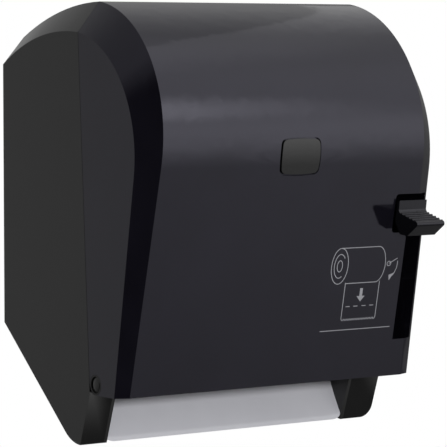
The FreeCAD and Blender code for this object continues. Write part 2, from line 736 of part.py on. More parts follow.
def chassis_plate(label, inner, sign):
    """Upright plate beside the rollers; its lower front closes the cheek."""
    body = body_node(label)
    outer = f"{inner} + ({sign}) * plate_thickness"
    sketch = sketch_on(body, "YZ_Plane", outer if sign < 0 else inner)
    floor_line = f"back_foot_height + wall / cos({UNDERSIDE_LEAN})"
    # The lower edge ends at the slanted floor, and follows the heel's arc through one point on it
    floor_end = [(f"-({HEEL_DEPTH} - cheek_flat * cos({UNDERSIDE_LEAN}) + {inside} * sin({UNDERSIDE_LEAN}))",
                  f"cheek_flat * sin({UNDERSIDE_LEAN}) + {inside} * cos({UNDERSIDE_LEAN})") for inside in ("wall", "0")]
    half_lean = f"({UNDERSIDE_LEAN} / 2)"
    heel = (f"-(cheek_toe_depth - {HEEL_RADIUS} * sin{half_lean})", f"{HEEL_RADIUS} * (1 - cos{half_lean})")
    draw_outline(sketch, [
        ("-cheek_toe_depth", "0"),
        ("-seam_foot_depth", CHEEK_TOP),
        ("-plate_front_depth", "cover_foot_height + 75"),
        ("-plate_front_depth + 14", "plate_top_height"),
        (f"-{BOSS_FRONT}", "plate_top_height"),
        (f"-{BOSS_FRONT}", f"{floor_line} - {BOSS_FRONT} * tan({UNDERSIDE_LEAN})"),
        *floor_end,
        heel,
    ])
    pad(body, sketch, "plate_thickness")
    # Holes for the feed bearing and the slide of the pinch blocks, and on the right the lever's pin
    holes = sketch_on(body, "YZ_Plane", outer)
    draw_circle(holes, f"-{FEED_DEPTH}", FEED_HEIGHT, "feed_bush_radius")
    if sign > 0:
        draw_circle(holes, "-lever_depth", "lever_height", "lever_pin_radius + running_clearance")
    draw_circle(holes, f"-{TEAR_SCREW_DEPTH}", TEAR_SCREW_HEIGHT, "screw_radius + running_clearance")
    slot_back, slot_front = f"-({BLOCK_BACK} - pinch_spring_length)", f"-({BLOCK_BACK} + 2 * block_half + hinge_clearance)"
    slot_low, slot_high = (f"{FEED_HEIGHT} {side} (block_half + hinge_clearance)" for side in "-+")
    draw_outline(holes, [(slot_back, slot_low), (slot_back, slot_high), (slot_front, slot_high),
                         (slot_front, slot_low)])
    pocket_through(body, holes)
    # Flange that the screws go through
    flange = sketch_on(body, "XZ_Plane", BOSS_FRONT)
    reach = f"{inner} - ({sign}) * flange_width"
    low, high = "flange_low_height - 10", "flange_high_height + 10"
    draw_outline(flange, [(outer, low), (reach, low), (reach, high), (outer, high)])
    pad(body, flange, "plate_thickness")
    screws = sketch_on(body, "XZ_Plane", BOSS_FRONT)
    for height in FLANGE_HEIGHTS:
        draw_circle(screws, f"{inner} - ({sign}) * flange_width / 2", height,
                    "screw_radius + running_clearance")
    pocket_through(body, screws)
    return body


def screw(head_side):
    """Pan-head screw whose head stands on the origin, with its shank pointing along -head_side."""
    length = size("screw_length")
    shank = Part.makeCylinder(size("screw_radius"), length, -head_side * length, head_side)
    return shank.fuse(Part.makeCylinder(size("screw_head_radius"), size("screw_head_height"), Vector(), head_side))


def screws(places, head_side):
    one = screw(head_side)
    copies = []
    for place in places:
        copy = one.copy()
        copy.translate(place)
        copies.append(copy)
    return Part.makeCompound(copies)


def chassis_screws():
    front = size(BOSS_FRONT) + size("plate_thickness")
    return screws([at(front, z, x) for x, z in flange_screw_places()], Vector(0, -1, 0))


def guide_panel():
    """Light curved panel that the paper slides down, with a rounded lip at its foot."""
    left, right = size(LEFT_PLATE), size(RIGHT_PLATE)
    toe = size("cheek_toe_depth")
    head = at(size(f"{TEAR_DEPTH} - guide_top_back"), size("guide_top_height"))
    bend = at(size(f"{TEAR_DEPTH} - guide_bend_back"), size("guide_bend_height"))

    def outline(inset):
        """Head, bend, hollow, turn, lip and foot, moved back by inset."""
        return (head + Vector(0, inset, 0), bend + Vector(0, inset, 0),
                at(toe - 12.3 - inset * 0.9, 27.5 - inset * 0.3), at(toe - 4 - inset * 0.7, 14.3 - inset * 0.7),
                at(toe + 0.8 - inset, 7.5), at(toe - 3.5 - inset * 0.6, 0.4 + inset * 0.8))

    front, back = outline(0), outline(size("guide_thickness"))
    edges = [Part.makeLine(front[0], front[1]), Part.Arc(front[1], front[2], front[3]).toShape(),
             Part.Arc(front[3], front[4], front[5]).toShape(), Part.makeLine(front[5], back[5]),
             Part.Arc(back[5], back[4], back[3]).toShape(), Part.Arc(back[3], back[2], back[1]).toShape(),
             Part.makeLine(back[1], back[0]), Part.makeLine(back[0], front[0])]
    face = Part.Face(Part.Wire(edges))
    face.translate(Vector(left, 0, 0))
    return face.extrude(Vector(right - left, 0, 0))


def tear_bar():
    """Thin steel strip with a saw-toothed lower edge, and a tab at each end for its screw."""
    left, right = size(LEFT_PLATE), size(RIGHT_PLATE)
    depth, thick = size(TEAR_DEPTH), size("steel_thickness")
    foot, high = size("tear_bar_foot"), size("tear_bar_foot + tear_bar_tall")
    valley = foot + size("tooth_depth")
    pitch = size("tooth_pitch")
    count = int((right - left - 2 * pitch) / pitch)
    start = (left + right - count * pitch) / 2
    points = [Vector(left, -depth, high), Vector(left, -depth, valley)]
    for i in range(count):
        points.append(Vector(start + i * pitch, -depth, valley))
        points.append(Vector(start + (i + 0.5) * pitch, -depth, foot))
    points += [Vector(start + count * pitch, -depth, valley), Vector(right, -depth, valley),
               Vector(right, -depth, high)]
    strip = Part.Face(Part.makePolygon(points + points[:1])).extrude(Vector(0, thick, 0))
    tab_back = depth - size("tear_bar_tab")
    tabs = [box(*ends, tab_back, depth, valley + thick, high) for ends in ((left, left + thick), (right - thick, right))]
    hole = rod(size("screw_radius") + size("running_clearance"), left, right, size(TEAR_SCREW_DEPTH),
               size(TEAR_SCREW_HEIGHT))
    return strip.multiFuse(tabs).cut(hole)


def tear_bar_screws():
    thick = size("steel_thickness")
    depth, height = size(TEAR_SCREW_DEPTH), size(TEAR_SCREW_HEIGHT)
    left = screws([at(depth, height, size(LEFT_PLATE) + thick)], Vector(1, 0, 0))
    right = screws([at(depth, height, size(RIGHT_PLATE) - thick)], Vector(-1, 0, 0))
    return Part.makeCompound(left.Solids + right.Solids)


# ---------------------------------------------------------------- gears

def involute_flank(base, start, end, steps):
    """Points of an involute from radius start to end, as (angle, radius) pairs from its own start."""
    points = []
    for i in range(steps + 1):
        radius = start + (end - start) * i / steps
        roll = math.sqrt(max((radius / base) ** 2 - 1, 0))
        points.append((roll - math.atan(roll), radius))
    return points


def tooth_points(teeth, centre_angle, backlash):
    """One tooth, root to root, as Vectors in the YZ plane about the gear's axis."""
    module = size("gear_module")
    pitch = module * teeth / 2
    base = pitch * math.cos(math.radians(20))
    tip, root = pitch + 0.85 * module, pitch - 1.15 * module
    start = max(base, root)
    flank = involute_flank(base, start, tip, 3)
    roll = math.tan(math.radians(20)) - math.radians(20)
    half = math.pi / (2 * teeth) + roll - backlash / (2 * pitch)
    polar = [(-half, root)] if root < base else []
    polar += [(angle - half, radius) for angle, radius in flank]
    polar += [(-angle, radius) for angle, radius in reversed(polar)]
    return [Vector(0, r * math.cos(a + centre_angle), r * math.sin(a + centre_angle)) for a, r in polar]


def toothed(teeth, angles, closing, width):
    """Gear outline through the teeth at the given angles, closed by more points, extruded along X."""
    points = []
    for angle in angles:
        points += tooth_points(teeth, angle, 0.16)
    points += closing
    face = Part.Face(Part.makePolygon(points + points[:1]))
    return face.extrude(Vector(width, 0, 0))


def drive_pinion():
    """Small gear on the feed shaft's clutch: a space between two teeth faces the lever's axis."""
    teeth = int(size("pinion_teeth"))
    facing = math.radians(size("pinion_heading")) + math.pi
    angles = [facing + (i + 0.5) * 2 * math.pi / teeth for i in range(teeth)]
    left, right = size(PINION_LEFT), size(PINION_RIGHT)
    depth, height = size(FEED_DEPTH), size(FEED_HEIGHT)
    gear = toothed(teeth, angles, [], right - left)
    gear.translate(at(depth, height, left))
    return gear.cut(rod(size("clutch_radius") + size("running_clearance"), left, right, depth, height))


def sector_gear():
    """Toothed fan screwed to the lever; a tooth points at the pinion in the rest position."""
    teeth = int(size("sector_teeth"))
    facing = math.radians(size("pinion_heading"))
    step = 2 * math.pi / teeth
    angles = [facing + i * step for i in range(-13, 4)]
    hub = 14.0
    first, last = angles[0] - step, angles[-1] + step
    rim = size("gear_module") * teeth / 2 - 3 * size("gear_module")

    def ray(radius, angle):
        return Vector(0, radius * math.cos(angle), radius * math.sin(angle))
    width = size("gear_width")
    fan = toothed(teeth, angles, [ray(rim, last), ray(hub - 4, last + 0.5), ray(hub - 4, first - 0.5),
                                  ray(rim, first)], width)
    fan = fan.fuse(rod(hub, 0, width, 0, 0))
    # Two lightening windows between three spokes
    spoke = 0.09
    for start, end in ((first, (first + last) / 2), ((first + last) / 2, last)):
        corners = [ray(hub + 6, start + 2 * spoke), ray(rim - 6, start + spoke),
                   ray(rim - 6, (start + end) / 2), ray(rim - 6, end - spoke), ray(hub + 6, end - 2 * spoke)]
        fan = fan.cut(Part.Face(Part.makePolygon(corners + corners[:1])).extrude(Vector(width, 0, 0)))
    fan = fan.cut(rod(size("lever_pin_radius") + size("running_clearance"), 0, width, 0, 0))
    fan.translate(at(size("lever_depth"), size("lever_height"), size(LEVER_LEFT) - width))
    return fan


# ---------------------------------------------------------------- lever

SPRING_WIRE = size("lever_spring_wire")
SPRING_RADIUS = size("lever_arm_height") / 2 + size("hinge_clearance") + SPRING_WIRE / 2
SPRING_TURNS = 2.75


def lever_point(reach, rise, across=0.0):
    """Point in the lever's own directions at rest: out along the arm, and square to it upwards."""
    tilt = math.radians(size(LEVER_TILT))
    depth = size("lever_depth") + reach * math.cos(tilt) - rise * math.sin(tilt)
    return at(depth, size("lever_height") + reach * math.sin(tilt) + rise * math.cos(tilt), across)


def sector_screw_places():
    left = size(LEVER_LEFT) - size("gear_width")
    return [lever_point(way * size("sector_screw_reach"), 0, left) for way in (1, -1)]


def panel_ahead():
    """How far the paddle's back, at the height of its root, lies in front of the end of the lever's reach."""
    root = lever_point(size("lever_reach"), 0)
    lean = math.tan(math.radians(size(PANEL_LEAN)))
    panel_depth = size("face_foot_depth") + lean * (root.z - size("cover_foot_height"))
    return panel_depth + size("paddle_gap") + root.y


def paddle():
    """Wedge with a shield behind it and grip ribs on its top, in front of the panel.

    Its back stays clear of the panel: the upper half is parallel to the panel at rest, and the lower half
    when the lever is pressed right down. Points are given forward of and above the shield's foot.
    """
    left, right = size(PADDLE_LEFT), size(LEVER_RIGHT)
    root = lever_point(size("lever_reach") + panel_ahead(), 0, left)
    lean = math.tan(math.radians(size(PANEL_LEAN)))

    def off(forward, up):
        return root + Vector(0, -forward, up)
    foot, high = off(0, 0), off(17.9 * lean, 17.9)
    brow, fall = off(6.5, 18.1), off(5.4, 10.3)
    slope_start, slope_end = off(8.2, 6.5), off(27.5, 0.8)
    under_nose, chin, heel = off(29.7, -3.4), off(17.1, -12.1), off(6.4, -11.1)
    edges = [
        Part.makeLine(foot, high),
        Part.makeLine(high, brow),
        Part.makeLine(brow, fall),
        Part.Arc(fall, off(6.2, 7.9), slope_start).toShape(),
        Part.makeLine(slope_start, slope_end),
        Part.Arc(slope_end, off(30.7, -0.8), under_nose).toShape(),
        Part.makeLine(under_nose, chin),
        Part.makeLine(chin, heel),
        Part.makeLine(heel, foot),
    ]
    wedge = Part.Face(Part.Wire(edges)).extrude(Vector(right - left, 0, 0))
    ribs = []
    for share in (0.04, 0.28, 0.52, 0.76, 1.0):
        rib = slope_start + (slope_end - slope_start) * share
        ribs.append(rod(1.1, left, right, -rib.y, rib.z - 0.1))
    return wedge.multiFuse(ribs)


def lever():
    """Hub, arm and paddle in one moulding."""
    left, right = size(LEVER_LEFT), size(LEVER_RIGHT)
    half = size("lever_arm_height") / 2
    tip = size("lever_reach") + panel_ahead() + 9
    depth, height = size("lever_depth"), size("lever_height")
    hub = rod(size("lever_hub_radius"), left, right, depth, height)
    arm = prism([lever_point(0, half), lever_point(tip, half), lever_point(tip, -half), lever_point(0, -half)],
                left, right)
    shape = hub.multiFuse([arm, paddle()])
    holes = [rod(size("lever_pin_radius") + size("running_clearance"), left, right, depth, height)]
    radius = size("screw_radius") + size("running_clearance")
    holes += [rod(radius, left, left + 4, -place.y, place.z) for place in sector_screw_places()]
    return shape.cut(Part.makeCompound(holes))


def drilled_sector():
    left, right = size(LEVER_LEFT) - size("gear_width"), size(LEVER_LEFT)
    radius = size("screw_radius") + size("running_clearance")
    holes = [rod(radius, left, right, -place.y, place.z) for place in sector_screw_places()]
    return sector_gear().cut(Part.makeCompound(holes))


def pivot_spacers():
    """Rings on the lever's pin, between plate and sector and between hub and side wall."""
    bore = size("lever_pin_radius") + size("running_clearance")
    clearance = size("hinge_clearance")
    # The left ring stays inside the circle that the sector screws' heads run on
    inner_radius = size("sector_screw_reach") - size("screw_head_radius") - clearance
    inner_side = size(LEVER_LEFT) - size("gear_width") - clearance
    outer_side = size(LEVER_RIGHT) + clearance
    rings = []
    for radius, left, right in ((inner_radius, size(RIGHT_PLATE) + size("plate_thickness"), inner_side),
                                (size("spacer_radius"), outer_side, size("width") / 2 - 2 * size("wall"))):
        ring = rod(radius, left, right, size("lever_depth"), size("lever_height"))
        rings.append(ring.cut(rod(bore, left, right, size("lever_depth"), size("lever_height"))))
    return Part.makeCompound(rings)


def coil_points(radius, turns, climb):
    """Points of a helix along Z that starts on the X axis."""
    count = round(12 * turns)
    angles = [2 * math.pi * i / 12 for i in range(count + 1)]
    return [Vector(radius * math.cos(a), radius * math.sin(a), climb * i / count) for i, a in enumerate(angles)]


def bent_wire(points, thickness):
    """Six-sided wire through the points: each run's corners are carried on to the mitre with the next run."""
    runs = [(end - start).normalize() for start, end in zip(points, points[1:])]
    across = runs[0].cross(Vector(0.3, 0.5, 0.8)).normalize()
    up = runs[0].cross(across)
    ring = []
    for i in range(6):
        angle = math.pi / 3 * i
        ring.append(points[0] + (across * math.cos(angle) + up * math.sin(angle)) * (thickness / 2))
    sections = [ring]
    for point, run, following in zip(points[1:], runs, runs[1:] + runs[-1:]):
        mitre = run + following
        ring = [corner + run * ((point - corner).dot(mitre) / run.dot(mitre)) for corner in ring]
        sections.append(ring)
    return Part.makeLoft([Part.makePolygon(ring + ring[:1]) for ring in sections], True, True)


def lever_return_spring():
    """Torsion spring round the right-hand spacer: one leg hooks under the arm, the other bears on a peg."""
    left = size(LEVER_RIGHT) + size("hinge_clearance") + SPRING_WIRE / 2
    climb = size("width") / 2 - 2 * size("wall") - size("hinge_clearance") - SPRING_WIRE / 2 - left
    # The coil's axis is X, and its first leg runs forward under the arm
    turn = Rotation(Vector(1, 0, 0), -size(LEVER_TILT)).multiply(Rotation(Vector(0, 0, 1), Vector(1, 0, 0)))
    centre = at(size("lever_depth"), size("lever_height"), left)
    coil = [centre + turn.multVec(point) for point in coil_points(SPRING_RADIUS, SPRING_TURNS, climb)]
    hook = [lever_point(30, -SPRING_RADIUS, left - 8), lever_point(30, -SPRING_RADIUS, left)]
    stay = [lever_point(SPRING_RADIUS, -SPRING_RADIUS - 8, left + climb)]
    return bent_wire(hook + coil + stay, SPRING_WIRE)


# ---------------------------------------------------------------- feed rollers

def tyres(radius, bore, depth):
    """The rubber tyres of one roller, evenly spaced about the middle."""
    count = int(size("tyre_count"))
    height = size(FEED_HEIGHT)
    shapes = []
    for i in range(count):
        left = size(MIDDLE) + (i - (count - 1) / 2) * size("tyre_pitch") - size("tyre_width") / 2
        right = left + size("tyre_width")
        shapes.append(rod(radius, left, right, depth, height).cut(rod(bore, left, right, depth, height)))
    return Part.makeCompound(shapes)


def feed_bearings():
    """Flanged bushes in the chassis plates."""
    bore = size("feed_shaft_radius") + size("running_clearance")
    seat = size("feed_bush_radius") - size("running_clearance")
    depth, height = size(FEED_DEPTH), size(FEED_HEIGHT)
    bushes = []
    for sign, inner in ((-1, size(LEFT_PLATE)), (1, size(RIGHT_PLATE))):
        ends = sorted((inner, inner + sign * size("plate_thickness")))
        flange = sorted((inner, inner - sign * 1.5))
        bush = rod(seat, *ends, depth, height).fuse(rod(seat + 2, *flange, depth, height))
        bushes.append(bush.cut(rod(bore, ends[0] - 2, ends[1] + 2, depth, height)))
    return Part.makeCompound(bushes)


def shaft_clips():
    """Retaining clips outside the left plate and outside the pinion."""
    inner = size("feed_shaft_radius") + size("running_clearance") / 2
    thick = size("clip_thickness")
    depth, height = size(FEED_DEPTH), size(FEED_HEIGHT)
    clips = []
    for left in (size(LEFT_PLATE) - size("plate_thickness") - size("hinge_clearance") - thick,
                 size(PINION_RIGHT) + 0.2):
        clip = rod(inner + 2.5, left, left + thick, depth, height).cut(rod(inner, left, left + thick, depth, height))
        clips.append(clip.cut(box(left, left + thick, depth - 2.5, depth + 2.5, height - 20, height)))
    return Part.makeCompound(clips)


def pinch_blocks():
    """Bearing blocks that slide in the plates' slots, with a cheek on each side of the plate."""
    half, cheek = size("block_half"), size("block_cheek")
    depth, height = size(PINCH_DEPTH), size(FEED_HEIGHT)
    room, thick = size("hinge_clearance"), size("plate_thickness")
    bore = size("pinch_shaft_radius") + size("running_clearance")
    blocks = []
    for sign, inner in ((-1, size(LEFT_PLATE)), (1, size(RIGHT_PLATE))):
        near, far = inner - sign * (room + cheek), inner + sign * (thick + room + cheek)
        shape = box(*sorted((near, far)), depth - half, depth + half, height - half, height + half)
        for start, end in ((near, near + sign * cheek), (far - sign * cheek, far)):
            shape = shape.fuse(box(*sorted((start, end)), depth - half, depth + half, height - half - 2,
                                   height + half + 2))
        blocks.append(shape.cut(rod(bore, *sorted((near, far - sign * cheek)), depth, height)))
    return Part.makeCompound(blocks)


def pinch_springs():
    """Springs in the plates' slots that press the pinch roller against the feed roller."""
    wire, radius = size("pinch_spring_wire"), size("pinch_spring_radius")
    clearance = size("hinge_clearance")
    climb = size("pinch_spring_length") - 2 * clearance - wire
    springs = []
    for sign, inner in ((-1, size(LEFT_PLATE)), (1, size(RIGHT_PLATE))):
        start = at(size(BLOCK_BACK) - clearance - wire / 2, size(FEED_HEIGHT), inner + sign * size("plate_thickness") / 2)
        turn = Rotation(Vector(0, 0, 1), Vector(0, 1, 0))
        springs.append(bent_wire([start + turn.multVec(point) for point in coil_points(radius, 4, climb)], wire))
    return Part.makeCompound(springs)


# ---------------------------------------------------------------- roll holder

ARM_SPRING_WIRE = size("arm_spring_wire")
ARM_SPRING_RADIUS = size("arm_pin_radius") + 0.6 + ARM_SPRING_WIRE / 2
ARM_SPRING_ROOM = size("arm_spring_room")


def roll_arm_brackets():
    """Brackets on the back wall, each with two lugs for the pin of a roll arm."""
    front, height, pivot = size(BOSS_FRONT), size("roll_height"), size("arm_pivot_depth")
    tall, lug_tall, knuckle = size("bracket_half_height"), size("lug_thickness"), size("knuckle_half")
    clearance = size("hinge_clearance")
    shapes = []
    for sign in (-1, 1):
        across = bracket_across(sign)
        shape = box(across - 9, across + 9, front, front + 3, height - tall, height + tall)
        for low in (height - knuckle - clearance - lug_tall, height + knuckle + clearance):
            lug = box(across - 5, across + 5, front, pivot, low, low + lug_tall)
            shape = shape.multiFuse([lug, upright_rod(5, across, pivot, low, low + lug_tall)])
        holes = [upright_rod(size("arm_pin_radius") + size("running_clearance"), across, pivot, height - tall,
                             height + tall)]
        for x, z in bracket_screw_places():
            holes.append(Part.makeCylinder(size("screw_radius") + size("running_clearance"), 3, at(front + 3, z, x),
                                           Vector(0, 1, 0)))
        shapes.append(shape.cut(Part.makeCompound(holes)))
    return Part.makeCompound(shapes)


def roll_arm_pins():
    """Headed pins, dropped in from above."""
    height, depth = size("roll_height"), size("arm_pivot_depth")
    reach = size("knuckle_half") + size("hinge_clearance") + size("lug_thickness")
    pins = []
    for sign in (-1, 1):
        across = bracket_across(sign)
        pin = upright_rod(size("arm_pin_radius"), across, depth, height - reach - 1, height + reach)
        pins.append(pin.fuse(upright_rod(size("arm_pin_radius") + 1.5, across, depth, height + reach,
                                         height + reach + 1.5)))
    return Part.makeCompound(pins)


def roll_arm_springs():
    """Springs round the pins: one leg bears on the bracket, the other presses the arm inwards."""
    low = size("roll_height") + size("knuckle_half") - ARM_SPRING_ROOM + size("hinge_clearance") + ARM_SPRING_WIRE / 2
    climb = ARM_SPRING_ROOM - 2 * size("hinge_clearance") - ARM_SPRING_WIRE
    pivot = size("arm_pivot_depth")
    radius = ARM_SPRING_RADIUS
    hook = [Vector(size("arm_thickness") / 2 + size("hinge_clearance"), -14, 0), Vector(radius, -14, 0)]
    stay = [Vector(radius, pivot - size(BOSS_FRONT) - 3 - size("hinge_clearance"), climb)]
    spring = bent_wire(hook + coil_points(radius, 3, climb) + stay, ARM_SPRING_WIRE)
    right, left = spring.copy(), spring.mirror(Vector(), Vector(1, 0, 0))
    right.translate(at(pivot, low, bracket_across(1)))
    left.translate(at(pivot, low, bracket_across(-1)))
    return Part.makeCompound([left, right])


def roll_arm(sign):
    """Arm from its pin to the roll's axis, with a stub axle that the core hub turns on."""
    across, thick = bracket_across(sign), size("arm_thickness")
    pivot, depth, height = size("arm_pivot_depth"), size("roll_depth"), size("roll_height")
    knuckle = size("knuckle_half")
    left, right = across - thick / 2, across + thick / 2
    shape = prism([at(pivot, height - knuckle), at(pivot, height + knuckle), at(depth, height + 12),
                   at(depth, height - 12)], left, right)
    reach = size("hub_flange") + size("hub_length") - 2
    stub = sorted((across, across - sign * (thick / 2 + size("hinge_clearance") + reach)))
    shape = shape.multiFuse([upright_rod(5, across, pivot, height - knuckle, height + knuckle),
                             rod(12, left, right, depth, height), rod(size("stub_radius"), *stub, depth, height)])
    spring_room = upright_rod(ARM_SPRING_RADIUS + 1.5, across, pivot, height + knuckle - ARM_SPRING_ROOM,
                              height + knuckle)
    pin_hole = upright_rod(size("arm_pin_radius") + size("running_clearance"), across, pivot, height - knuckle,
                           height + knuckle)
    return shape.cut(Part.makeCompound([spring_room, pin_hole]))


def core_hub(label, sign):
    """Tapered hub that fits the roll's core."""
    bore, tip = "stub_radius + running_clearance", f"({-sign}) * (hub_flange + hub_length)"
    return turned_node(label, [
        ("0", bore), (tip, bore), (tip, "core_radius - 2.5"), (f"({-sign}) * (hub_flange + 4)", "core_radius"),
        (f"({-sign}) * hub_flange", "core_radius"), (f"({-sign}) * hub_flange", "hub_flange_radius"),
        ("0", "hub_flange_radius"),
    ], f"{MIDDLE} + ({sign}) * (roll_width / 2 + hub_flange)", "roll_depth", "roll_height")


# ---------------------------------------------------------------- lock

def lock_sleeve():
    across, depth, seat = size("lock_across"), size("lock_depth"), lock_seat()
    sleeve = upright_rod(size("lock_radius"), across, depth, seat - size("lock_length"), seat)
    sleeve = sleeve.fuse(upright_rod(size("lock_radius") + 2, across, depth, seat, seat + 2))
    return sleeve.cut(upright_rod(size("lock_plug_radius") + size("running_clearance"), across, depth,
                                  seat - size("lock_length"), seat + 2))


def lock_nut():
    """Flat hexagon nut under the boss, with two flats across X."""
    across, depth = size("lock_across"), size("lock_depth")
    high = lock_seat() - 2 * size("wall")
    corner = (size("lock_radius") + 3) / math.cos(math.pi / 6)
    corners = [Vector(across + corner * math.sin(i * math.pi / 3), -depth + corner * math.cos(i * math.pi / 3), high - 3)
               for i in range(6)]
    hexagon = Part.Face(Part.makePolygon(corners + corners[:1])).extrude(Vector(0, 0, 3))
    return hexagon.cut(upright_rod(size("lock_radius") + size("running_clearance"), across, depth, high - 3, high))


def lock_plug():
    """Plug with a key slot, which turns in the sleeve."""
    across, depth, seat = size("lock_across"), size("lock_depth"), lock_seat()
    foot = seat - size("lock_length") - 1
    plug = upright_rod(size("lock_plug_radius"), across, depth, foot, seat + 2.4)
    key_slot = box(across - 0.8, across + 0.8, depth - 4, depth + 4, seat - 5, seat + 3)
    screw_hole = upright_rod(size("screw_radius") + size("running_clearance"), across, depth, foot, foot + 7)
    return plug.cut(Part.makeCompound([key_slot, screw_hole]))


def cam_low():
    return lock_seat() - size("lock_length") - 1 - size("cam_thickness")


def lock_cam():
    """Flat tongue under the plug, which points forward when the lock is open."""
    across, depth, low = size("lock_across"), size("lock_depth"), cam_low()
    high, half = low + size("cam_thickness"), size("cam_width") / 2
    cam = upright_rod(half + 2, across, depth, low, high)
    tip = depth + size("cam_reach") - half
    cam = cam.multiFuse([box(across - half, across + half, depth, tip, low, high),
                         upright_rod(half, across, tip, low, high)])
    return cam.cut(upright_rod(size("screw_radius") + size("running_clearance"), across, depth, low, high))


def cam_screw():
    return screws([at(size("lock_depth"), cam_low(), size("lock_across"))], Vector(0, 0, -1))


def striker_top():
    """Height of the striker's upper face, which follows the crown of the cover."""
    belly, foot, fall, inward, centre, radius = front_curve("face")
    back = -size("striker_front_depth") - centre.y
    inner = centre.z + math.sqrt((radius - size("wall")) ** 2 - back ** 2)
    return inner - size("striker_drop")


def striker_screw_depths():
    front = size("striker_front_depth")
    return front - 5, front - 14


def striker():
    """Steel hook under the cover's crown, with a lip that the cam holds."""
    half, thick, high = size("striker_width") / 2, size("striker_thickness"), striker_top()
    back, front = size("striker_back_depth"), size("striker_front_depth")
    arm = box(-half, half, back, front, high - thick, high)
    shape = arm.fuse(box(-half, half, back, back + thick, high - size("striker_lip"), high))
    radius = size("screw_radius") + size("running_clearance")
    holes = [upright_rod(radius, 0, depth, high - thick, high) for depth in striker_screw_depths()]
    return shape.cut(Part.makeCompound(holes))


def striker_screws():
    low = striker_top() - size("striker_thickness")
    return screws([at(depth, low) for depth in striker_screw_depths()], Vector(0, 0, -1))


def striker_block():
    """Block moulded under the crown of the cover, which the striker is screwed to."""
    half, low = size("striker_width") / 2 + 3, striker_top()
    block = box(-half, half, size("striker_front_depth") - 21, size("striker_front_depth") + 2, low, low + 40)
    block = block.common(front_form(1, 100, 100))
    radius = size("screw_radius") + size("running_clearance")
    holes = [upright_rod(radius, 0, depth, low, low + 7.5) for depth in striker_screw_depths()]
    return block.cut(Part.makeCompound(holes))


# ---------------------------------------------------------------- assembly

def straight_turned(label, left, right, inner, outer, depth, height):
    """Plain turned sub-part between two places across: a rod, or a tube where inner isn't 0."""
    length = f"{right} - {left}"
    return turned_node(label, [("0", inner), (length, inner), (length, outer), ("0", outer)], left, depth, height)


def build_housing():
    solid_node("rear_housing", rear_housing())
    chassis_plate("left_chassis_plate", LEFT_PLATE, -1)
    chassis_plate("right_chassis_plate", RIGHT_PLATE, 1)
    solid_node("chassis_screws", chassis_screws())
    solid_node("guide_panel", guide_panel())
    solid_node("tear_bar", tear_bar())
    solid_node("tear_bar_screws", tear_bar_screws())
    solid_node("hinge_pins", hinge_pins())
    solid_node("feed_bearings", feed_bearings())
    solid_node("lock_sleeve", lock_sleeve())
    solid_node("lock_nut", lock_nut())


def build_cover():
    solid_node("front_cover", front_cover().fuse(striker_block()))
    solid_node("badge_plate", badge_plate())
    solid_node("striker", striker())
    solid_node("striker_screws", striker_screws())
    solid_node("lock_plug", lock_plug())
    solid_node("lock_cam", lock_cam())
    solid_node("cam_screw", cam_screw())


def build_lever():
    shank_end = f"width / 2 - wall - 1 - {RIGHT_PLATE}"
    turned_node("lever_pivot_pin", [
        ("-1.5", "0"), ("-1.5", "lever_pin_radius + 3"), ("0", "lever_pin_radius + 3"), ("0", "lever_pin_radius"),
        (shank_end, "lever_pin_radius"), (shank_end, "0"),
    ], RIGHT_PLATE, "lever_depth", "lever_height")
    solid_node("pivot_spacers", pivot_spacers())
    straight_turned("lever_buffer", f"({LEVER_LEFT} + 0.5)", f"({LEVER_RIGHT} + 0.5)",
                    "buffer_peg_radius + running_clearance", "buffer_radius", BUFFER_DEPTH, BUFFER_HEIGHT)
    solid_node("lever_return_spring", lever_return_spring())
    solid_node("lever", lever())
    solid_node("sector_gear", drilled_sector())
    solid_node("sector_screws", screws(sector_screw_places(), Vector(-1, 0, 0)))


def build_rollers():
    solid_node("drive_pinion", drive_pinion())
    straight_turned("one_way_clutch", f"({PINION_LEFT} + 0.4)", f"({PINION_RIGHT} - 0.4)",
                    "feed_shaft_radius + running_clearance", "clutch_radius", FEED_DEPTH, FEED_HEIGHT)
    straight_turned("feed_shaft", f"({LEFT_PLATE} - plate_thickness - 2 * clip_thickness - 1)",
                    f"({LEVER_LEFT} - 0.5)", "0", "feed_shaft_radius", FEED_DEPTH, FEED_HEIGHT)
    straight_turned("feed_roller_core", f"({MIDDLE} - roll_width / 2)", f"({MIDDLE} + roll_width / 2)",
                    "feed_shaft_radius + running_clearance", "feed_core_radius", FEED_DEPTH, FEED_HEIGHT)
    bore = size("feed_core_radius") + size("running_clearance")
    solid_node("feed_tyres", tyres(size("feed_tyre_radius"), bore, size(FEED_DEPTH)))
    solid_node("shaft_clips", shaft_clips())
    straight_turned("pinch_shaft", f"({LEFT_PLATE} - plate_thickness)", f"({RIGHT_PLATE} + plate_thickness)",
                    "0", "pinch_shaft_radius", PINCH_DEPTH, FEED_HEIGHT)
    bore = size("pinch_shaft_radius") + size("running_clearance")
    solid_node("pinch_tyres", tyres(size("pinch_tyre_radius"), bore, size(PINCH_DEPTH)))
    solid_node("pinch_blocks", pinch_blocks())
    solid_node("pinch_springs", pinch_springs())


def build_roll_holder():
    front = size(BOSS_FRONT) + 3
    solid_node("roll_arm_brackets", roll_arm_brackets())
    solid_node("bracket_screws", screws([at(front, z, x) for x, z in bracket_screw_places()], Vector(0, -1, 0)))
    solid_node("roll_arm_pins", roll_arm_pins())
    solid_node("roll_arm_springs", roll_arm_springs())
    for side, sign in (("left", -1), ("right", 1)):
        solid_node(side + "_roll_arm", roll_arm(sign))
        core_hub(side + "_core_hub", sign)


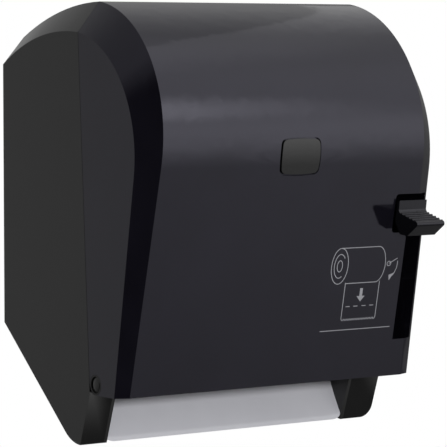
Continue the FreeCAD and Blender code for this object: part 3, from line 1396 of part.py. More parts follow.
def finish():
    """Recomputes, checks every object and writes one STEP file per sub-part."""
    doc.recompute()
    for obj in doc.Objects:
        if "Invalid" in obj.State or "Error" in obj.State:
            raise SystemExit(f"{obj.Label}: {obj.State}")
    os.makedirs("parts", exist_ok=True)
    for obj in nodes:
        shape = obj.Shape
        if shape.isNull() or not shape.isValid() or not shape.Solids:
            raise SystemExit(f"{obj.Label}: no valid solid")
        shape.exportStep(f"parts/{obj.Label}.step")
        print(f"{obj.Label}: {len(shape.Solids)} solid(s), {shape.Volume / 1000:.2f} cm3")


build_housing()
build_cover()
build_lever()
build_rollers()
build_roll_holder()
finish()
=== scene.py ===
import bpy
import bmesh
import math
import numpy as np
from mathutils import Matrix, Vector
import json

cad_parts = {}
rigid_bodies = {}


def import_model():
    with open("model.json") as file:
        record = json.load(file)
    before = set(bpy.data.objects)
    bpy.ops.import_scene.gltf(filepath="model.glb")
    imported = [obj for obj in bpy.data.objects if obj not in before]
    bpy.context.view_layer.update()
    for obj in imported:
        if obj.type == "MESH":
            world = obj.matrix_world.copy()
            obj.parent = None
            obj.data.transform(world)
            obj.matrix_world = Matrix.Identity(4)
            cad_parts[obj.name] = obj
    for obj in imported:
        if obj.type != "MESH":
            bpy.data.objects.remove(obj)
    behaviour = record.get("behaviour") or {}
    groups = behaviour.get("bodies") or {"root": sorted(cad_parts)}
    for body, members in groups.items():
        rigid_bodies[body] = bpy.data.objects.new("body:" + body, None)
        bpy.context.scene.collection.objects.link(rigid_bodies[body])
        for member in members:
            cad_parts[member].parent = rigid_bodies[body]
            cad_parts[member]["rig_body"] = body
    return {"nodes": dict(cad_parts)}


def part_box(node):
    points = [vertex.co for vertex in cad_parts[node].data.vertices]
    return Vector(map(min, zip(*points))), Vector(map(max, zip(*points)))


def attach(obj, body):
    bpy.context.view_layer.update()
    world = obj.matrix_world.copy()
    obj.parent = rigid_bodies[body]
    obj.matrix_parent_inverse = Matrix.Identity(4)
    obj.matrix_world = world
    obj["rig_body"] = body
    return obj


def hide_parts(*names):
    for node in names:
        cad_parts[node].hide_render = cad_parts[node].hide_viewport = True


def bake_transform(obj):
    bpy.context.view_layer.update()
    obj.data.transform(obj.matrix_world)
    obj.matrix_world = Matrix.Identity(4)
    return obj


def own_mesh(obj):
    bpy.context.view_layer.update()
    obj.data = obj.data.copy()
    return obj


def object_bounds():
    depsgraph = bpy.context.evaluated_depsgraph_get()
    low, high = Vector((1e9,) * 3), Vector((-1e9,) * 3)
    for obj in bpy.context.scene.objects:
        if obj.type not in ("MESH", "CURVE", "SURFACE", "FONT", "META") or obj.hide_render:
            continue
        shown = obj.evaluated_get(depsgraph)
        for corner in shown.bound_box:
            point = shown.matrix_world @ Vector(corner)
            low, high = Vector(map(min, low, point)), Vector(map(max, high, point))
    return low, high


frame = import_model()
cadLow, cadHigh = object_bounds()
nodeObjects = frame["nodes"]
print("frame loaded:", len(nodeObjects), "nodes")

cameraSettings = {
    "place": (-1.33258, -2.01831, 0.12866),  # metres from the middle of the four wall screws
    "turn": (86.248, 0.0, -35.0),  # degrees: looks right, towards the wall and a little down
    "lens": 213.84,  # mm
    "sensor": 36.0,  # mm
}


def makeCamera(given):
    data = bpy.data.cameras.new("productCamera")
    data.lens = given["lens"]
    data.sensor_width = given["sensor"]
    camera = bpy.data.objects.new("productCamera", data)
    camera.location = given["place"]
    camera.rotation_euler = [math.radians(angle) for angle in given["turn"]]
    bpy.context.scene.collection.objects.link(camera)
    bpy.context.scene.camera = camera


makeCamera(cameraSettings)
print("camera placed")


def linearColour(hexText):
    # sRGB hex to linear: each channel by the sRGB curve
    channels = [int(hexText[i:i + 2], 16) / 255 for i in (1, 3, 5)]
    linear = [c / 12.92 if c <= 0.04045 else ((c + 0.055) / 1.055) ** 2.4 for c in channels]
    return (*linear, 1.0)


def addNode(tree, kind, inputs=None, **attributes):
    # a node with its settings; an input given as a socket is linked, any other value is set
    node = tree.nodes.new(kind)
    for name, value in attributes.items():
        setattr(node, name, value)
    for name, value in (inputs or {}).items():
        if isinstance(value, bpy.types.NodeSocket):
            tree.links.new(value, node.inputs[name])
        else:
            node.inputs[name].default_value = value
    return node


def startMaterial(name):
    material = bpy.data.materials.new(name)
    material.use_nodes = True
    tree = material.node_tree
    tree.nodes.clear()
    output = addNode(tree, "ShaderNodeOutputMaterial")
    shader = addNode(tree, "ShaderNodeBsdfPrincipled")
    tree.links.new(shader.outputs["BSDF"], output.inputs["Surface"])
    place = addNode(tree, "ShaderNodeTexCoord").outputs["Object"]
    return material, tree, shader, place


def noisePerMm(tree, place, millimetres, detail=2.0, stretch=(1.0, 1.0, 1.0)):
    # noise whose blotches are about this many millimetres across; stretch lengthens them along an axis
    mapping = addNode(tree, "ShaderNodeMapping", {"Vector": place, "Scale": [1 / s for s in stretch]})
    noise = addNode(tree, "ShaderNodeTexNoise", {"Vector": mapping.outputs["Vector"], "Detail": detail,
                                                 "Scale": 1000 / millimetres, "Roughness": 0.55})
    return noise.outputs["Fac"]


def spread(tree, factor, low, high):
    # the middle of the noise's range, 0.3 to 0.7, is spread from low to high
    return addNode(tree, "ShaderNodeMapRange", {"Value": factor, "From Min": 0.3, "From Max": 0.7,
                                                "To Min": low, "To Max": high}).outputs["Result"]


def twoTones(tree, factor, dark, light):
    mix = addNode(tree, "ShaderNodeMix", {0: factor, 6: linearColour(dark), 7: linearColour(light)},
                  data_type="RGBA")
    return mix.outputs[2]


def bump(tree, height, strength, millimetres, below=None):
    # a bump that lies on the one below, where there is one
    inputs = {"Height": height, "Strength": strength, "Distance": millimetres / 1000}
    if below is not None:
        inputs["Normal"] = below
    return addNode(tree, "ShaderNodeBump", inputs).outputs["Normal"]


def moulded(name, dark, light, rough, roughVary, peel, grain, ior=1.53, sheen="#ffffff"):
    # Injection-moulded plastic: flow makes a cloudy tone over some centimetres, handling leaves uneven
    # roughness, and the mould leaves a slight waviness (orange peel, some millimetres) and a fine grain,
    # which is coarser here than on real plastic so that it shows
    cloudAcross, wearAcross = 60.0, 9.0  # mm
    material, tree, shader, place = startMaterial(name)
    cloud = spread(tree, noisePerMm(tree, place, cloudAcross, 3.0), 0.0, 1.0)
    tree.links.new(twoTones(tree, cloud, dark, light), shader.inputs["Base Color"])
    wear = noisePerMm(tree, place, wearAcross, 4.0)
    tree.links.new(spread(tree, wear, rough - roughVary, rough + roughVary), shader.inputs["Roughness"])
    waves = noisePerMm(tree, place, peel["across"], 1.0)
    wavy = bump(tree, waves, peel["strength"], peel["depth"])
    grit = noisePerMm(tree, place, grain["across"], 2.0)
    gritty = bump(tree, grit, grain["strength"], grain["depth"], wavy)
    tree.links.new(gritty, shader.inputs["Normal"])
    shader.inputs["IOR"].default_value = ior
    shader.inputs["Specular Tint"].default_value = linearColour(sheen)
    return material


def steel(name, dark, light, rough, streak, streakDepth):
    # Sheet and turned steel: a cloudy plated tone, and the lines that drawing leaves along one way, which
    # are coarser here than on real steel so that they show
    cloudAcross, linesAcross = 14.0, 0.8  # mm
    smoother, rougher = 0.07, 0.09  # how far the lines vary the roughness
    material, tree, shader, place = startMaterial(name)
    shader.inputs["Metallic"].default_value = 1.0
    cloud = spread(tree, noisePerMm(tree, place, cloudAcross, 3.0), 0.0, 1.0)
    tree.links.new(twoTones(tree, cloud, dark, light), shader.inputs["Base Color"])
    lines = noisePerMm(tree, place, linesAcross, 2.0, streak)
    tree.links.new(spread(tree, lines, rough - smoother, rough + rougher), shader.inputs["Roughness"])
    tree.links.new(bump(tree, lines, 0.25, streakDepth), shader.inputs["Normal"])
    return material


# ABS from a polished mould: near-black, glossy, with faint orange peel and a cold sheen
pianoBlackAbs = moulded("pianoBlackAbs", "#0b0a0f", "#0f0e14", 0.09, 0.012,
                        {"across": 14.0, "strength": 0.02, "depth": 0.05},
                        {"across": 0.9, "strength": 0.03, "depth": 0.01}, 1.56, "#eeecff")
# the lever's ABS: the same, but its ribbed mould has a duller finish
leverAbs = moulded("leverAbs", "#0b0b0d", "#0f0f12", 0.24, 0.03,
                   {"across": 8.0, "strength": 0.05, "depth": 0.04},
                   {"across": 0.7, "strength": 0.08, "depth": 0.02}, 1.46, "#f4f3ff")
# the same ABS from the rear tool, a little less polished, with ejector haze
satinBlackAbs = moulded("satinBlackAbs", "#0a0a0a", "#0e0e0e", 0.13, 0.02,
                        {"across": 14.0, "strength": 0.05, "depth": 0.05},
                        {"across": 0.9, "strength": 0.05, "depth": 0.02}, 1.54)
# light grey ABS that the paper polishes as it slides
pearlGreyAbs = moulded("pearlGreyAbs", "#b2b2b8", "#b8b8be", 0.42, 0.04,
                       {"across": 20.0, "strength": 0.05, "depth": 0.08},
                       {"across": 0.8, "strength": 0.1, "depth": 0.02})
# natural acetal: waxy white, machined or moulded
naturalAcetal = moulded("naturalAcetal", "#d9d6cc", "#e4e1d8", 0.42, 0.05,
                        {"across": 6.0, "strength": 0.1, "depth": 0.05},
                        {"across": 0.5, "strength": 0.15, "depth": 0.02}, 1.48)
# black nylon with glass fibre: matt, with a sandy grain
fibreNylon = moulded("fibreNylon", "#1c1c1d", "#262627", 0.5, 0.06,
                     {"across": 4.0, "strength": 0.15, "depth": 0.05},
                     {"across": 0.6, "strength": 0.35, "depth": 0.04}, 1.53)
# EPDM rubber of the tyres and buffer: matt with a ground surface
groundRubber = moulded("groundRubber", "#1d1d1d", "#2a2a29", 0.78, 0.06,
                       {"across": 3.0, "strength": 0.2, "depth": 0.05},
                       {"across": 0.5, "strength": 0.5, "depth": 0.05}, 1.52)
# bright zinc-plated sheet, with rolling lines
zincSteel = steel("zincSteel", "#a9adb2", "#c6c9cc", 0.34, (1.0, 1.0, 14.0), 0.01)
# black powder paint on the chassis plates: matt, with fine orange peel
blackPaint = moulded("blackPaint", "#101010", "#161616", 0.48, 0.05,
                     {"across": 2.5, "strength": 0.2, "depth": 0.04},
                     {"across": 0.6, "strength": 0.2, "depth": 0.02})
# drawn spring wire, oiled
springWire = steel("springWire", "#7c7c7e", "#929294", 0.28, (6.0, 1.0, 1.0), 0.01)
# chromed zinc casting of the lock
lockChrome = steel("lockChrome", "#d4d4d6", "#e2e2e4", 0.12, (1.0, 1.0, 3.0), 0.004)
# pad-printed ink of the pictogram
printInk = moulded("printInk", "#828287", "#8b8b90", 0.5, 0.05,
                   {"across": 5.0, "strength": 0.05, "depth": 0.02},
                   {"across": 0.5, "strength": 0.1, "depth": 0.01})
print("materials made")

finishes = {
    "rear_housing": satinBlackAbs, "front_cover": pianoBlackAbs, "badge_plate": satinBlackAbs,
    "lever": leverAbs, "guide_panel": pearlGreyAbs, "hinge_pins": satinBlackAbs,
    "left_chassis_plate": blackPaint, "right_chassis_plate": blackPaint, "chassis_screws": zincSteel,
    "tear_bar": zincSteel, "tear_bar_screws": zincSteel, "feed_bearings": naturalAcetal,
    "lock_sleeve": lockChrome, "lock_nut": zincSteel, "lever_pivot_pin": zincSteel,
    "pivot_spacers": naturalAcetal, "lever_buffer": groundRubber, "lever_return_spring": springWire,
    "pinch_springs": springWire, "roll_arm_brackets": zincSteel, "bracket_screws": zincSteel,
    "roll_arm_pins": zincSteel, "roll_arm_springs": springWire, "striker": fibreNylon,
    "striker_screws": zincSteel, "sector_gear": fibreNylon, "sector_screws": zincSteel,
    "drive_pinion": fibreNylon, "one_way_clutch": zincSteel, "feed_shaft": zincSteel,
    "feed_roller_core": fibreNylon, "feed_tyres": groundRubber, "shaft_clips": springWire,
    "pinch_blocks": naturalAcetal, "pinch_shaft": zincSteel, "pinch_tyres": groundRubber,
    "left_roll_arm": fibreNylon, "right_roll_arm": fibreNylon, "left_core_hub": naturalAcetal,
    "right_core_hub": naturalAcetal, "lock_plug": lockChrome, "lock_cam": zincSteel,
    "cam_screw": zincSteel,
}


def dress(piece, material):
    piece.data.materials.clear()
    piece.data.materials.append(material)
    bpy.context.scene.collection.objects.link(piece)


def finishPiece(piece, node, bends=None):
    # The piece takes its node's finish and body, and the node is hidden; where bends is given, the piece's
    # placement is baked in and it joins no body
    dress(piece, finishes[node])
    if bends:
        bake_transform(piece)
    else:
        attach(piece, nodeObjects[node]["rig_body"])
    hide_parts(node)


def shadeSmooth(work, sharpAngle):
    # Every face is shaded smooth, and an edge stays sharp where its faces turn by more than the angle
    limit = math.radians(sharpAngle)
    for edge in work.edges:
        edge.smooth = len(edge.link_faces) == 2 and edge.calc_face_angle(0.0) <= limit
    for face in work.faces:
        face.smooth = True


softening = {
    "joinWithin": 0.000002,  # metres between points that are one
    "flatWithin": 0.3, "sharpFrom": 30.0,  # degrees
    "largeFaces": 80,  # how much more large faces count than small ones in the shading, 50 being even
    "rounding": {  # mm
        "rear_housing": 0.5, "front_cover": 0.5, "lever": 0.35, "badge_plate": 1.6, "tear_bar": 0.15,
        "lock_sleeve": 0.4, "lock_nut": 0.3, "lock_plug": 0.2, "left_core_hub": 0.5,
        "right_core_hub": 0.5, "left_roll_arm": 0.5, "right_roll_arm": 0.5, "roll_arm_brackets": 0.2,
        "pinch_tyres": 0.8, "feed_roller_core": 0.4, "pinch_blocks": 0.3, "lever_buffer": 0.8,
    },
    "inset": {"badge_plate": 0.45},  # mm that an outline stands back from its CAD size
    # the arm's end corner, which is sunk into the hollow of the paddle's top, in metres along Y and Z
    "sunk": {"lever": {"from": (-0.22135, -0.01159), "to": (-0.22045, -0.01340), "within": 0.0001}},
}


def sinkCorner(work, sunk):
    for corner in work.verts:
        if (corner.co.yz - Vector(sunk["from"])).length < sunk["within"]:
            corner.co.yz = Vector(sunk["to"])


def standBack(work, node, inset):
    # The outline shrinks about its middle, across and in height, by the inset on each side
    low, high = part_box(node)
    for corner in work.verts:
        for axis in (0, 2):
            middle, half = (low[axis] + high[axis]) / 2, (high[axis] - low[axis]) / 2
            corner.co[axis] = middle + (corner.co[axis] - middle) * (1 - inset / half)


def softenedNode(node, given):
    # A copy of the node's own surface, its points joined, its edges rounded and its curves shaded smooth
    mesh = nodeObjects[node].data.copy()
    mesh.name = node + "_soft"
    work = bmesh.new()
    work.from_mesh(mesh)
    bmesh.ops.remove_doubles(work, verts=work.verts, dist=given["joinWithin"])
    bmesh.ops.dissolve_limit(work, angle_limit=math.radians(given["flatWithin"]), verts=work.verts,
                             edges=work.edges)
    if node in given["sunk"]:
        sinkCorner(work, given["sunk"][node])
    if node in given["inset"]:
        standBack(work, node, given["inset"][node] / 1000)
    shadeSmooth(work, given["sharpFrom"])
    work.to_mesh(mesh)
    work.free()
    piece = bpy.data.objects.new(node + "_soft", mesh)
    if node in given["rounding"]:
        rounding = piece.modifiers.new("edgeRounding", "BEVEL")
        rounding.width = given["rounding"][node] / 1000
        rounding.segments = 2
        rounding.limit_method = "ANGLE"
        rounding.angle_limit = math.radians(given["sharpFrom"])
        rounding.harden_normals = True
        rounding.use_clamp_overlap = True
    # flat faces stay flat up to their edges
    weighting = piece.modifiers.new("largeFacesFirst", "WEIGHTED_NORMAL")
    weighting.keep_sharp = True
    weighting.weight = given["largeFaces"]
    finishPiece(piece, node)


madeAnew = ("guide_panel", "hinge_pins", "lever_return_spring", "pinch_springs", "roll_arm_springs",
            "feed_tyres", "chassis_screws", "bracket_screws", "tear_bar_screws", "striker_screws",
            "sector_screws", "cam_screw")
for nodeName in nodeObjects:
    if nodeName not in madeAnew:
        softenedNode(nodeName, softening)
print("nodes dressed")

footBelow = 205.0  # mm from the frame's origin down to the object's foot, which heights are given from
pointsJoin = 0.000001  # metres between a surface's points that are one
quarterCircle = np.radians(np.arange(0.0, 91.0, 15.0))


def inFrame(across, depth, height):
    # millimetres across, forward of the wall and above the foot, to the frame's metres
    return (across / 1000, -depth / 1000, (height - footBelow) / 1000)


def shell(points, closedRows=False):
    # Faces between neighbours in a grid whose columns run round; open rows get a flat end at each side
    rows, columns = points.shape[:2]
    row, column = np.meshgrid(np.arange(rows if closedRows else rows - 1), np.arange(columns),
                              indexing="ij")
    nextRow, nextColumn = (row + 1) % rows * columns, (column + 1) % columns
    faces = np.stack([row * columns + column, nextRow + column, nextRow + nextColumn,
                      row * columns + nextColumn], axis=-1).reshape(-1, 4).tolist()
    if not closedRows:
        faces += [list(range(columns)), list(range((rows - 1) * columns, rows * columns))]
    return points.reshape(-1, 3), faces


def surfaceObject(name, shells, sharpAngle):
    # The shells, in millimetres above the foot, become one mesh in the frame's metres that faces outwards
    corners = (np.concatenate([points for points, _ in shells]) - (0.0, 0.0, footBelow)) / 1000
    firsts = np.cumsum([0] + [len(points) for points, _ in shells])
    faces = [[first + corner for corner in face]
             for first, (_, some) in zip(firsts, shells) for face in some]
    mesh = bpy.data.meshes.new(name)
    mesh.from_pydata(corners.tolist(), [], faces)
    work = bmesh.new()
    work.from_mesh(mesh)
    bmesh.ops.remove_doubles(work, verts=work.verts, dist=pointsJoin)
    bmesh.ops.recalc_face_normals(work, faces=work.faces)
    shadeSmooth(work, sharpAngle)
    work.to_mesh(mesh)
    work.free()
    return bpy.data.objects.new(name, mesh)


def surfacePiece(name, shells, node, sharpAngle=35.0, bends=None):
    piece = surfaceObject(name, shells, sharpAngle)
    finishPiece(piece, node, bends)
    return piece


def smoothPath(corners, spacing, rounding):
    # Points at even distances along the straight runs, then averaged over the rounding to each side
    corners = np.array(corners, float)
    along = np.concatenate([[0.0], np.cumsum(np.linalg.norm(np.diff(corners, axis=0), axis=1))])
    places = np.linspace(0.0, along[-1], int(along[-1] / spacing) + 2)
    dense = np.stack([np.interp(places, along, axis) for axis in corners.T], axis=1)
    reach = max(int(rounding / spacing), 1)
    wide = np.pad(dense, ((reach, reach), (0, 0)), mode="reflect", reflect_type="odd")
    kernel = np.full(2 * reach + 1, 1 / (2 * reach + 1))
    return np.stack([np.convolve(axis, kernel, "valid") for axis in wide.T], axis=1)


def unit(vectors):
    return vectors / np.linalg.norm(vectors, axis=-1, keepdims=True)


def roundAngles(sides):
    # even angles round a circle, laid along the middle axis of a grid of points
    return np.arange(sides)[None, :, None] * (2 * math.pi / sides)


def tubeAlong(path, sideways, radius, sides=12):
    # A circle square to the path at each point, turned so that its first spoke leans towards sideways
    along = unit(np.gradient(path, axis=0))
    across = unit(sideways - (sideways * along).sum(axis=1, keepdims=True) * along)
    up = np.cross(along, across)
    angle = roundAngles(sides)
    return path[:, None, :] + radius * (np.cos(angle) * across[:, None, :] + np.sin(angle) * up[:, None, :])


def turnedAbout(place, axis, along, radius, sides):
    # Each profile point goes round the axis: place + along * axis + radius * (cos, sin) across it
    axis = np.array(axis, float)
    across = unit(np.cross(axis, (0.3, 0.5, 0.8)))  # any direction that leans away from the axis would do
    up = np.cross(axis, across)
    angle = roundAngles(sides)
    along, radius = np.asarray(along, float), np.asarray(radius, float)
    along = np.broadcast_to(along.reshape(len(along), -1), (len(along), sides))[:, :, None]
    radius = np.broadcast_to(radius.reshape(len(radius), -1), (len(radius), sides))[:, :, None]
    return np.array(place, float) + along * axis + radius * (np.cos(angle) * across + np.sin(angle) * up)


guide = {
    "left": -128.5, "right": 121.3,  # between the chassis plates
    "front": [(96.5, 78.0), (106.0, 43.0), (125.6, 3.2), (125.4, 0.5)],  # depth and height, top to foot
    "rounding": 2.4, "spacing": 0.8,
    "thickness": 2.5,
    "cornerRadius": 9.0, "cornerLift": 4.0, "cornerSteps": 13,  # the foot rises at the ends
    "liftHeight": 30.0, "straightSteps": 31,
}


def makeGuide(given):
    # The front line and the same line set back by the thickness, carried across from plate to plate
    corners = [(0.0, -depth, height) for depth, height in given["front"]]
    front = smoothPath(corners, given["spacing"], given["rounding"])
    along = unit(np.gradient(front, axis=0))
    backward = np.stack([np.zeros(len(front)), -along[:, 2], along[:, 1]], axis=1)
    outline = np.concatenate([front, (front + backward * given["thickness"])[::-1]])
    # Stations across lie close together in the two end corners. There the foot lifts by a quarter of an
    # ellipse, and the lift fades out, by a square, up to the lift's height.
    half, radius = (given["right"] - given["left"]) / 2, given["cornerRadius"]
    inEnd = radius * (1.0 - np.cos(np.radians(np.linspace(0.0, 90.0, given["cornerSteps"]))))
    straight = np.linspace(radius - half, half - radius, given["straightSteps"])[1:-1]
    across = np.concatenate([inEnd - half, straight, (half - inEnd)[::-1]])
    inCorner = np.clip((np.abs(across) - half + radius) / radius, 0.0, 1.0)
    nearlyWhole = 0.999  # of the quarter, so that it doesn't end upright
    lift = given["cornerLift"] * (1.0 - np.sqrt(1.0 - inCorner ** 2 * nearlyWhole))
    points = np.repeat(outline[None, :, :], len(across), axis=0)
    low = np.clip(1.0 - points[:, :, 2] / given["liftHeight"], 0.0, 1.0) ** 2
    points[:, :, 2] += lift[:, None] * low
    points[:, :, 0] = across[:, None] + (given["left"] + given["right"]) / 2
    surfacePiece("guide_panel_sheet", [shell(points)], "guide_panel", 50.0)


makeGuide(guide)
print("guide panel made")

hingePins = {
    "half": 155.0, "depth": 150.0, "height": 53.6, "sides": 64,
    "headRadius": 8.2, "headThickness": 1.6, "edge": 0.2,
    "crownRadius": 6.9, "crownDrop": 1.4, "crownSteps": 24, "rimRadius": 7.2,  # a dome within a flush rim
    "shankRadius": 4.0, "shankLength": 11.0, "shankEdge": 0.5,
}


def makeHingePins(given):
    # The dome falls with the radius to the power 2.5, inside a flat rim; the edge is a quarter circle
    dome = np.linspace(0.0, 1.0, given["crownSteps"])
    edge, thickness, length = given["edge"], given["headThickness"], given["shankLength"]
    head, shank, chamfer = given["headRadius"], given["shankRadius"], given["shankEdge"]
    along = np.concatenate([-given["crownDrop"] * dome ** 2.5, [0.0], -edge * (1 - np.cos(quarterCircle)),
                            [-thickness, -thickness, chamfer - length, -length, -length]])
    radius = np.concatenate([dome * given["crownRadius"], [given["rimRadius"]],
                             head - edge * (1 - np.sin(quarterCircle)),
                             [head, shank, shank, shank - chamfer, 0.0]])
    pins = []
    for side in (-1, 1):
        place = (side * given["half"], -given["depth"], given["height"])
        pins.append(shell(turnedAbout(place, (side, 0, 0), along, radius, given["sides"])))
    surfacePiece("hinge_pin_caps", pins, "hinge_pins")


makeHingePins(hingePins)
print("hinge pins made")

crossScrew = {
    "sides": 40,
    "headRadius": 3.2, "headHeight": 2.2, "headFall": 0.8, "recessSteps": 12, "rimSteps": 9,
    "recessReach": 1.85, "recessHalf": 0.42, "recessDepth": 1.25, "recessSide": 0.12, "recessEnd": 0.25,
    "shankRadius": 1.5, "length": 8.5, "point": 1.4,
    "threadRoot": 1.2, "pitch": 1.3, "ridgeHalf": 0.24,  # half a ridge's width, as a share of the pitch
    # the thread's rings: their first place, the step between them, and how far short of the end they stop
    "threadFrom": 0.3, "threadStep": 0.17, "threadShort": 0.01,
}
leverPivot = {"depth": 64.3, "height": 166.5, "tilt": 6.84}  # degrees up at rest


def leverPlace(across, reach, rise):
    # reach runs forward along the lever's arm and rise is square to it
    tilt = math.radians(leverPivot["tilt"])
    return (across, -(leverPivot["depth"] + reach * math.cos(tilt) - rise * math.sin(tilt)),
            leverPivot["height"] + reach * math.sin(tilt) + rise * math.cos(tilt))


def screwHead(given, angle):
    # The top falls with the radius to the power 2.4, and a cross with sloping sides is sunk into it
    reach, side = given["recessReach"], given["recessSide"]
    radius = np.concatenate([np.linspace(0.0, reach, given["recessSteps"]),
                             np.linspace(reach + side, given["headRadius"], given["rimSteps"])])[:, None]
    x, y = np.abs(radius * np.cos(angle)), np.abs(radius * np.sin(angle))
    inside = (np.clip((given["recessHalf"] - np.minimum(x, y)) / side, 0.0, 1.0)
              * np.clip((reach - np.maximum(x, y)) / given["recessEnd"], 0.0, 1.0))
    along = (given["headHeight"] - given["headFall"] * (radius / given["headRadius"]) ** 2.4
             - given["recessDepth"] * inside)
    return along, radius * np.ones_like(angle)


def screwThread(given, angle):
    # A ridge that climbs one pitch with each turn, on a shank that narrows to its point
    along = -np.arange(given["threadFrom"], given["length"] - given["threadShort"],
                       given["threadStep"])[:, None]
    turn = (along / given["pitch"] - angle / (2 * math.pi)) % 1.0
    ridge = np.clip(1.0 - np.abs(turn - 0.5) / given["ridgeHalf"], 0.0, 1.0)
    taper = np.clip((given["length"] + along) / given["point"], 0.0, 1.0) ** 0.5
    radius = (given["threadRoot"] + (given["shankRadius"] - given["threadRoot"]) * ridge) * taper
    return along * np.ones_like(angle), radius


def screwShell(place, axis, given=crossScrew):
    # From the middle of the head to the point; the place is under the head, and the axis the way it looks
    angle = np.arange(given["sides"])[None, :] * (2 * math.pi / given["sides"])
    ring = np.ones_like(angle)
    headAlong, headRadius = screwHead(given, angle)
    threadAlong, threadRadius = screwThread(given, angle)
    alongs = np.concatenate([headAlong, 0.0 * ring, 0.0 * ring, threadAlong, -given["length"] * ring])
    radii = np.concatenate([headRadius, given["headRadius"] * ring, given["shankRadius"] * ring,
                            threadRadius, 0.0 * ring])
    return shell(turnedAbout(place, axis, alongs, radii, given["sides"]))


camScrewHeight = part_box("cam_screw")[0].z * 1000 + footBelow + crossScrew["headHeight"]
screwSets = {  # node: places under the heads in millimetres, and the way each head looks
    "chassis_screws": [((x, -12.0, z), (0, -1, 0)) for x in (-120.5, 113.3) for z in (118.0, 186.0)],
    "bracket_screws": [((x, -12.0, z), (0, -1, 0)) for x in (-111.4, 104.2) for z in (234.0, 290.0)],
    "tear_bar_screws": [((-127.3, -108.1, 67.0), (1, 0, 0)), ((120.1, -108.1, 67.0), (-1, 0, 0))],
    "striker_screws": [((0.0, -145.0, 356.0), (0, 0, -1)), ((0.0, -136.0, 356.0), (0, 0, -1))],
    "sector_screws": [(leverPlace(127.0, reach, 0.0), (-1, 0, 0)) for reach in (9.0, -9.0)],
    "cam_screw": [((20.0, -98.0, camScrewHeight), (0, 0, -1))],
}
for nodeName, places in screwSets.items():
    surfacePiece(nodeName + "_cross", [screwShell(*place) for place in places], nodeName, 40.0)
print("screws made")

wireSpacing, wireSharpAngle = 0.3, 60.0  # mm between rings along a wire, and degrees
returnSpring = {
    "wire": 1.1, "radius": 8.85, "turns": 2.75, "from": 144.85, "climb": 3.3,
    "hookReach": 30.0, "hookBack": 8.0, "stayDrop": 8.0, "bend": 0.9,
}
pinchSprings = {
    "wire": 0.9, "radius": 3.2, "turns": 4, "climb": 10.5, "depth": 89.05, "height": 127.013,
    "across": (-130.0, 122.8), "closing": 0.09, "travel": 3.0,
}
armSprings = {
    "wire": 1.0, "radius": 3.6, "turns": 3, "climb": 6.4, "depth": 26.0, "height": 271.8,
    "right": 104.2, "left": -111.4, "hookTip": 2.3, "hookReach": 14.0, "stayReach": 13.7, "bend": 0.8,
}


def helix(radius, turns, climb, closing=0.0, stepsPerTurn=40):
    # radius * (cos, sin) of the angle, climbing evenly, or closer together at both ends
    share = np.linspace(0.0, 1.0, int(stepsPerTurn * turns) + 1)
    angle = share * turns * 2 * math.pi
    return np.stack([radius * np.cos(angle), radius * np.sin(angle),
                     climb * (share - closing * np.sin(2 * math.pi * share))], axis=1)


def makeReturnSpring(given):
    # A helix round the pivot between two straight legs: the front one hooks under the arm and goes with
    # it, the other bears on a peg. The path is (across, reach, rise), as leverPlace takes it.
    radius, start, climb, wire = given["radius"], given["from"], given["climb"], given["wire"]
    turns = helix(radius, given["turns"], climb)
    coil = np.stack([start + turns[:, 2], -turns[:, 1], -turns[:, 0]], axis=1)
    corners = [(start - given["hookBack"], given["hookReach"], -radius),
               (start, given["hookReach"], -radius), *coil,
               (start + climb, radius, -radius - given["stayDrop"])]
    path = smoothPath(corners, wireSpacing, given["bend"])
    # the rings' first spoke looks away from the pivot on the coil, and away from the arm on the legs
    onCoil = np.clip(1.0 - np.maximum(np.abs(path[:, 1]) - radius, 0.0), 0.0, 1.0)[:, None]
    spoke = path * (0.0, 1.0, 1.0) * onCoil + np.array((0.0, 0.0, -1.0)) * (1.0 - onCoil)
    tilt = math.radians(leverPivot["tilt"])
    sideways = np.stack([spoke[:, 0], -(spoke[:, 1] * math.cos(tilt) - spoke[:, 2] * math.sin(tilt)),
                         spoke[:, 1] * math.sin(tilt) + spoke[:, 2] * math.cos(tilt)], axis=1)
    place = np.stack(leverPlace(path[:, 0], path[:, 1], path[:, 2]), axis=1)
    fixed, moved = [inFrame(start + along, leverPivot["depth"], leverPivot["height"])
                    for along in (climb - wire / 2, wire / 2)]
    surfacePiece("lever_torsion_spring", [shell(tubeAlong(place, sideways, wire / 2))],
                 "lever_return_spring", wireSharpAngle, ("housing", "lever", fixed, moved))


def makePinchSprings(given):
    # One helix in each plate's slot, closer at its ends; the blocks press both together towards the back
    climb, wire = given["climb"], given["wire"]
    turns = helix(given["radius"], given["turns"], climb, given["closing"])
    shells = []
    for across in given["across"]:
        path = np.stack([across + turns[:, 0], turns[:, 2] - given["depth"],
                         given["height"] - turns[:, 1]], axis=1)
        sideways = (path - (across, 0.0, given["height"])) * (1.0, 0.0, 1.0)
        shells.append(shell(tubeAlong(path, sideways, wire / 2)))
    springs = surfacePiece("pinch_coil_springs", shells, "pinch_springs", wireSharpAngle)
    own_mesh(springs)


def makeArmSprings(given):
    # A helix round each arm's pin, with a straight leg on the bracket, and below it a hooked one that
    # goes with the arm
    radius, climb, wire = given["radius"], given["climb"], given["wire"]
    corners = [(given["hookTip"], -given["hookReach"], 0.0), (radius, -given["hookReach"], 0.0),
               *helix(radius, given["turns"], climb), (radius, given["stayReach"], climb)]
    path = smoothPath(corners, wireSpacing, given["bend"])
    for side, arm, across in ((1, "right_arm", given["right"]), (-1, "left_arm", given["left"])):
        place = path * (side, 1.0, 1.0) + (across, -given["depth"], given["height"])
        tube = tubeAlong(place, np.broadcast_to((0.0, 0.0, 1.0), place.shape), wire / 2)
        fixed, moved = [inFrame(across, given["depth"], given["height"] + rise)
                        for rise in (climb - wire / 2, wire / 2)]
        surfacePiece(arm + "_coil_spring", [shell(tube)], "roll_arm_springs", wireSharpAngle,
                     ("housing", arm, fixed, moved))


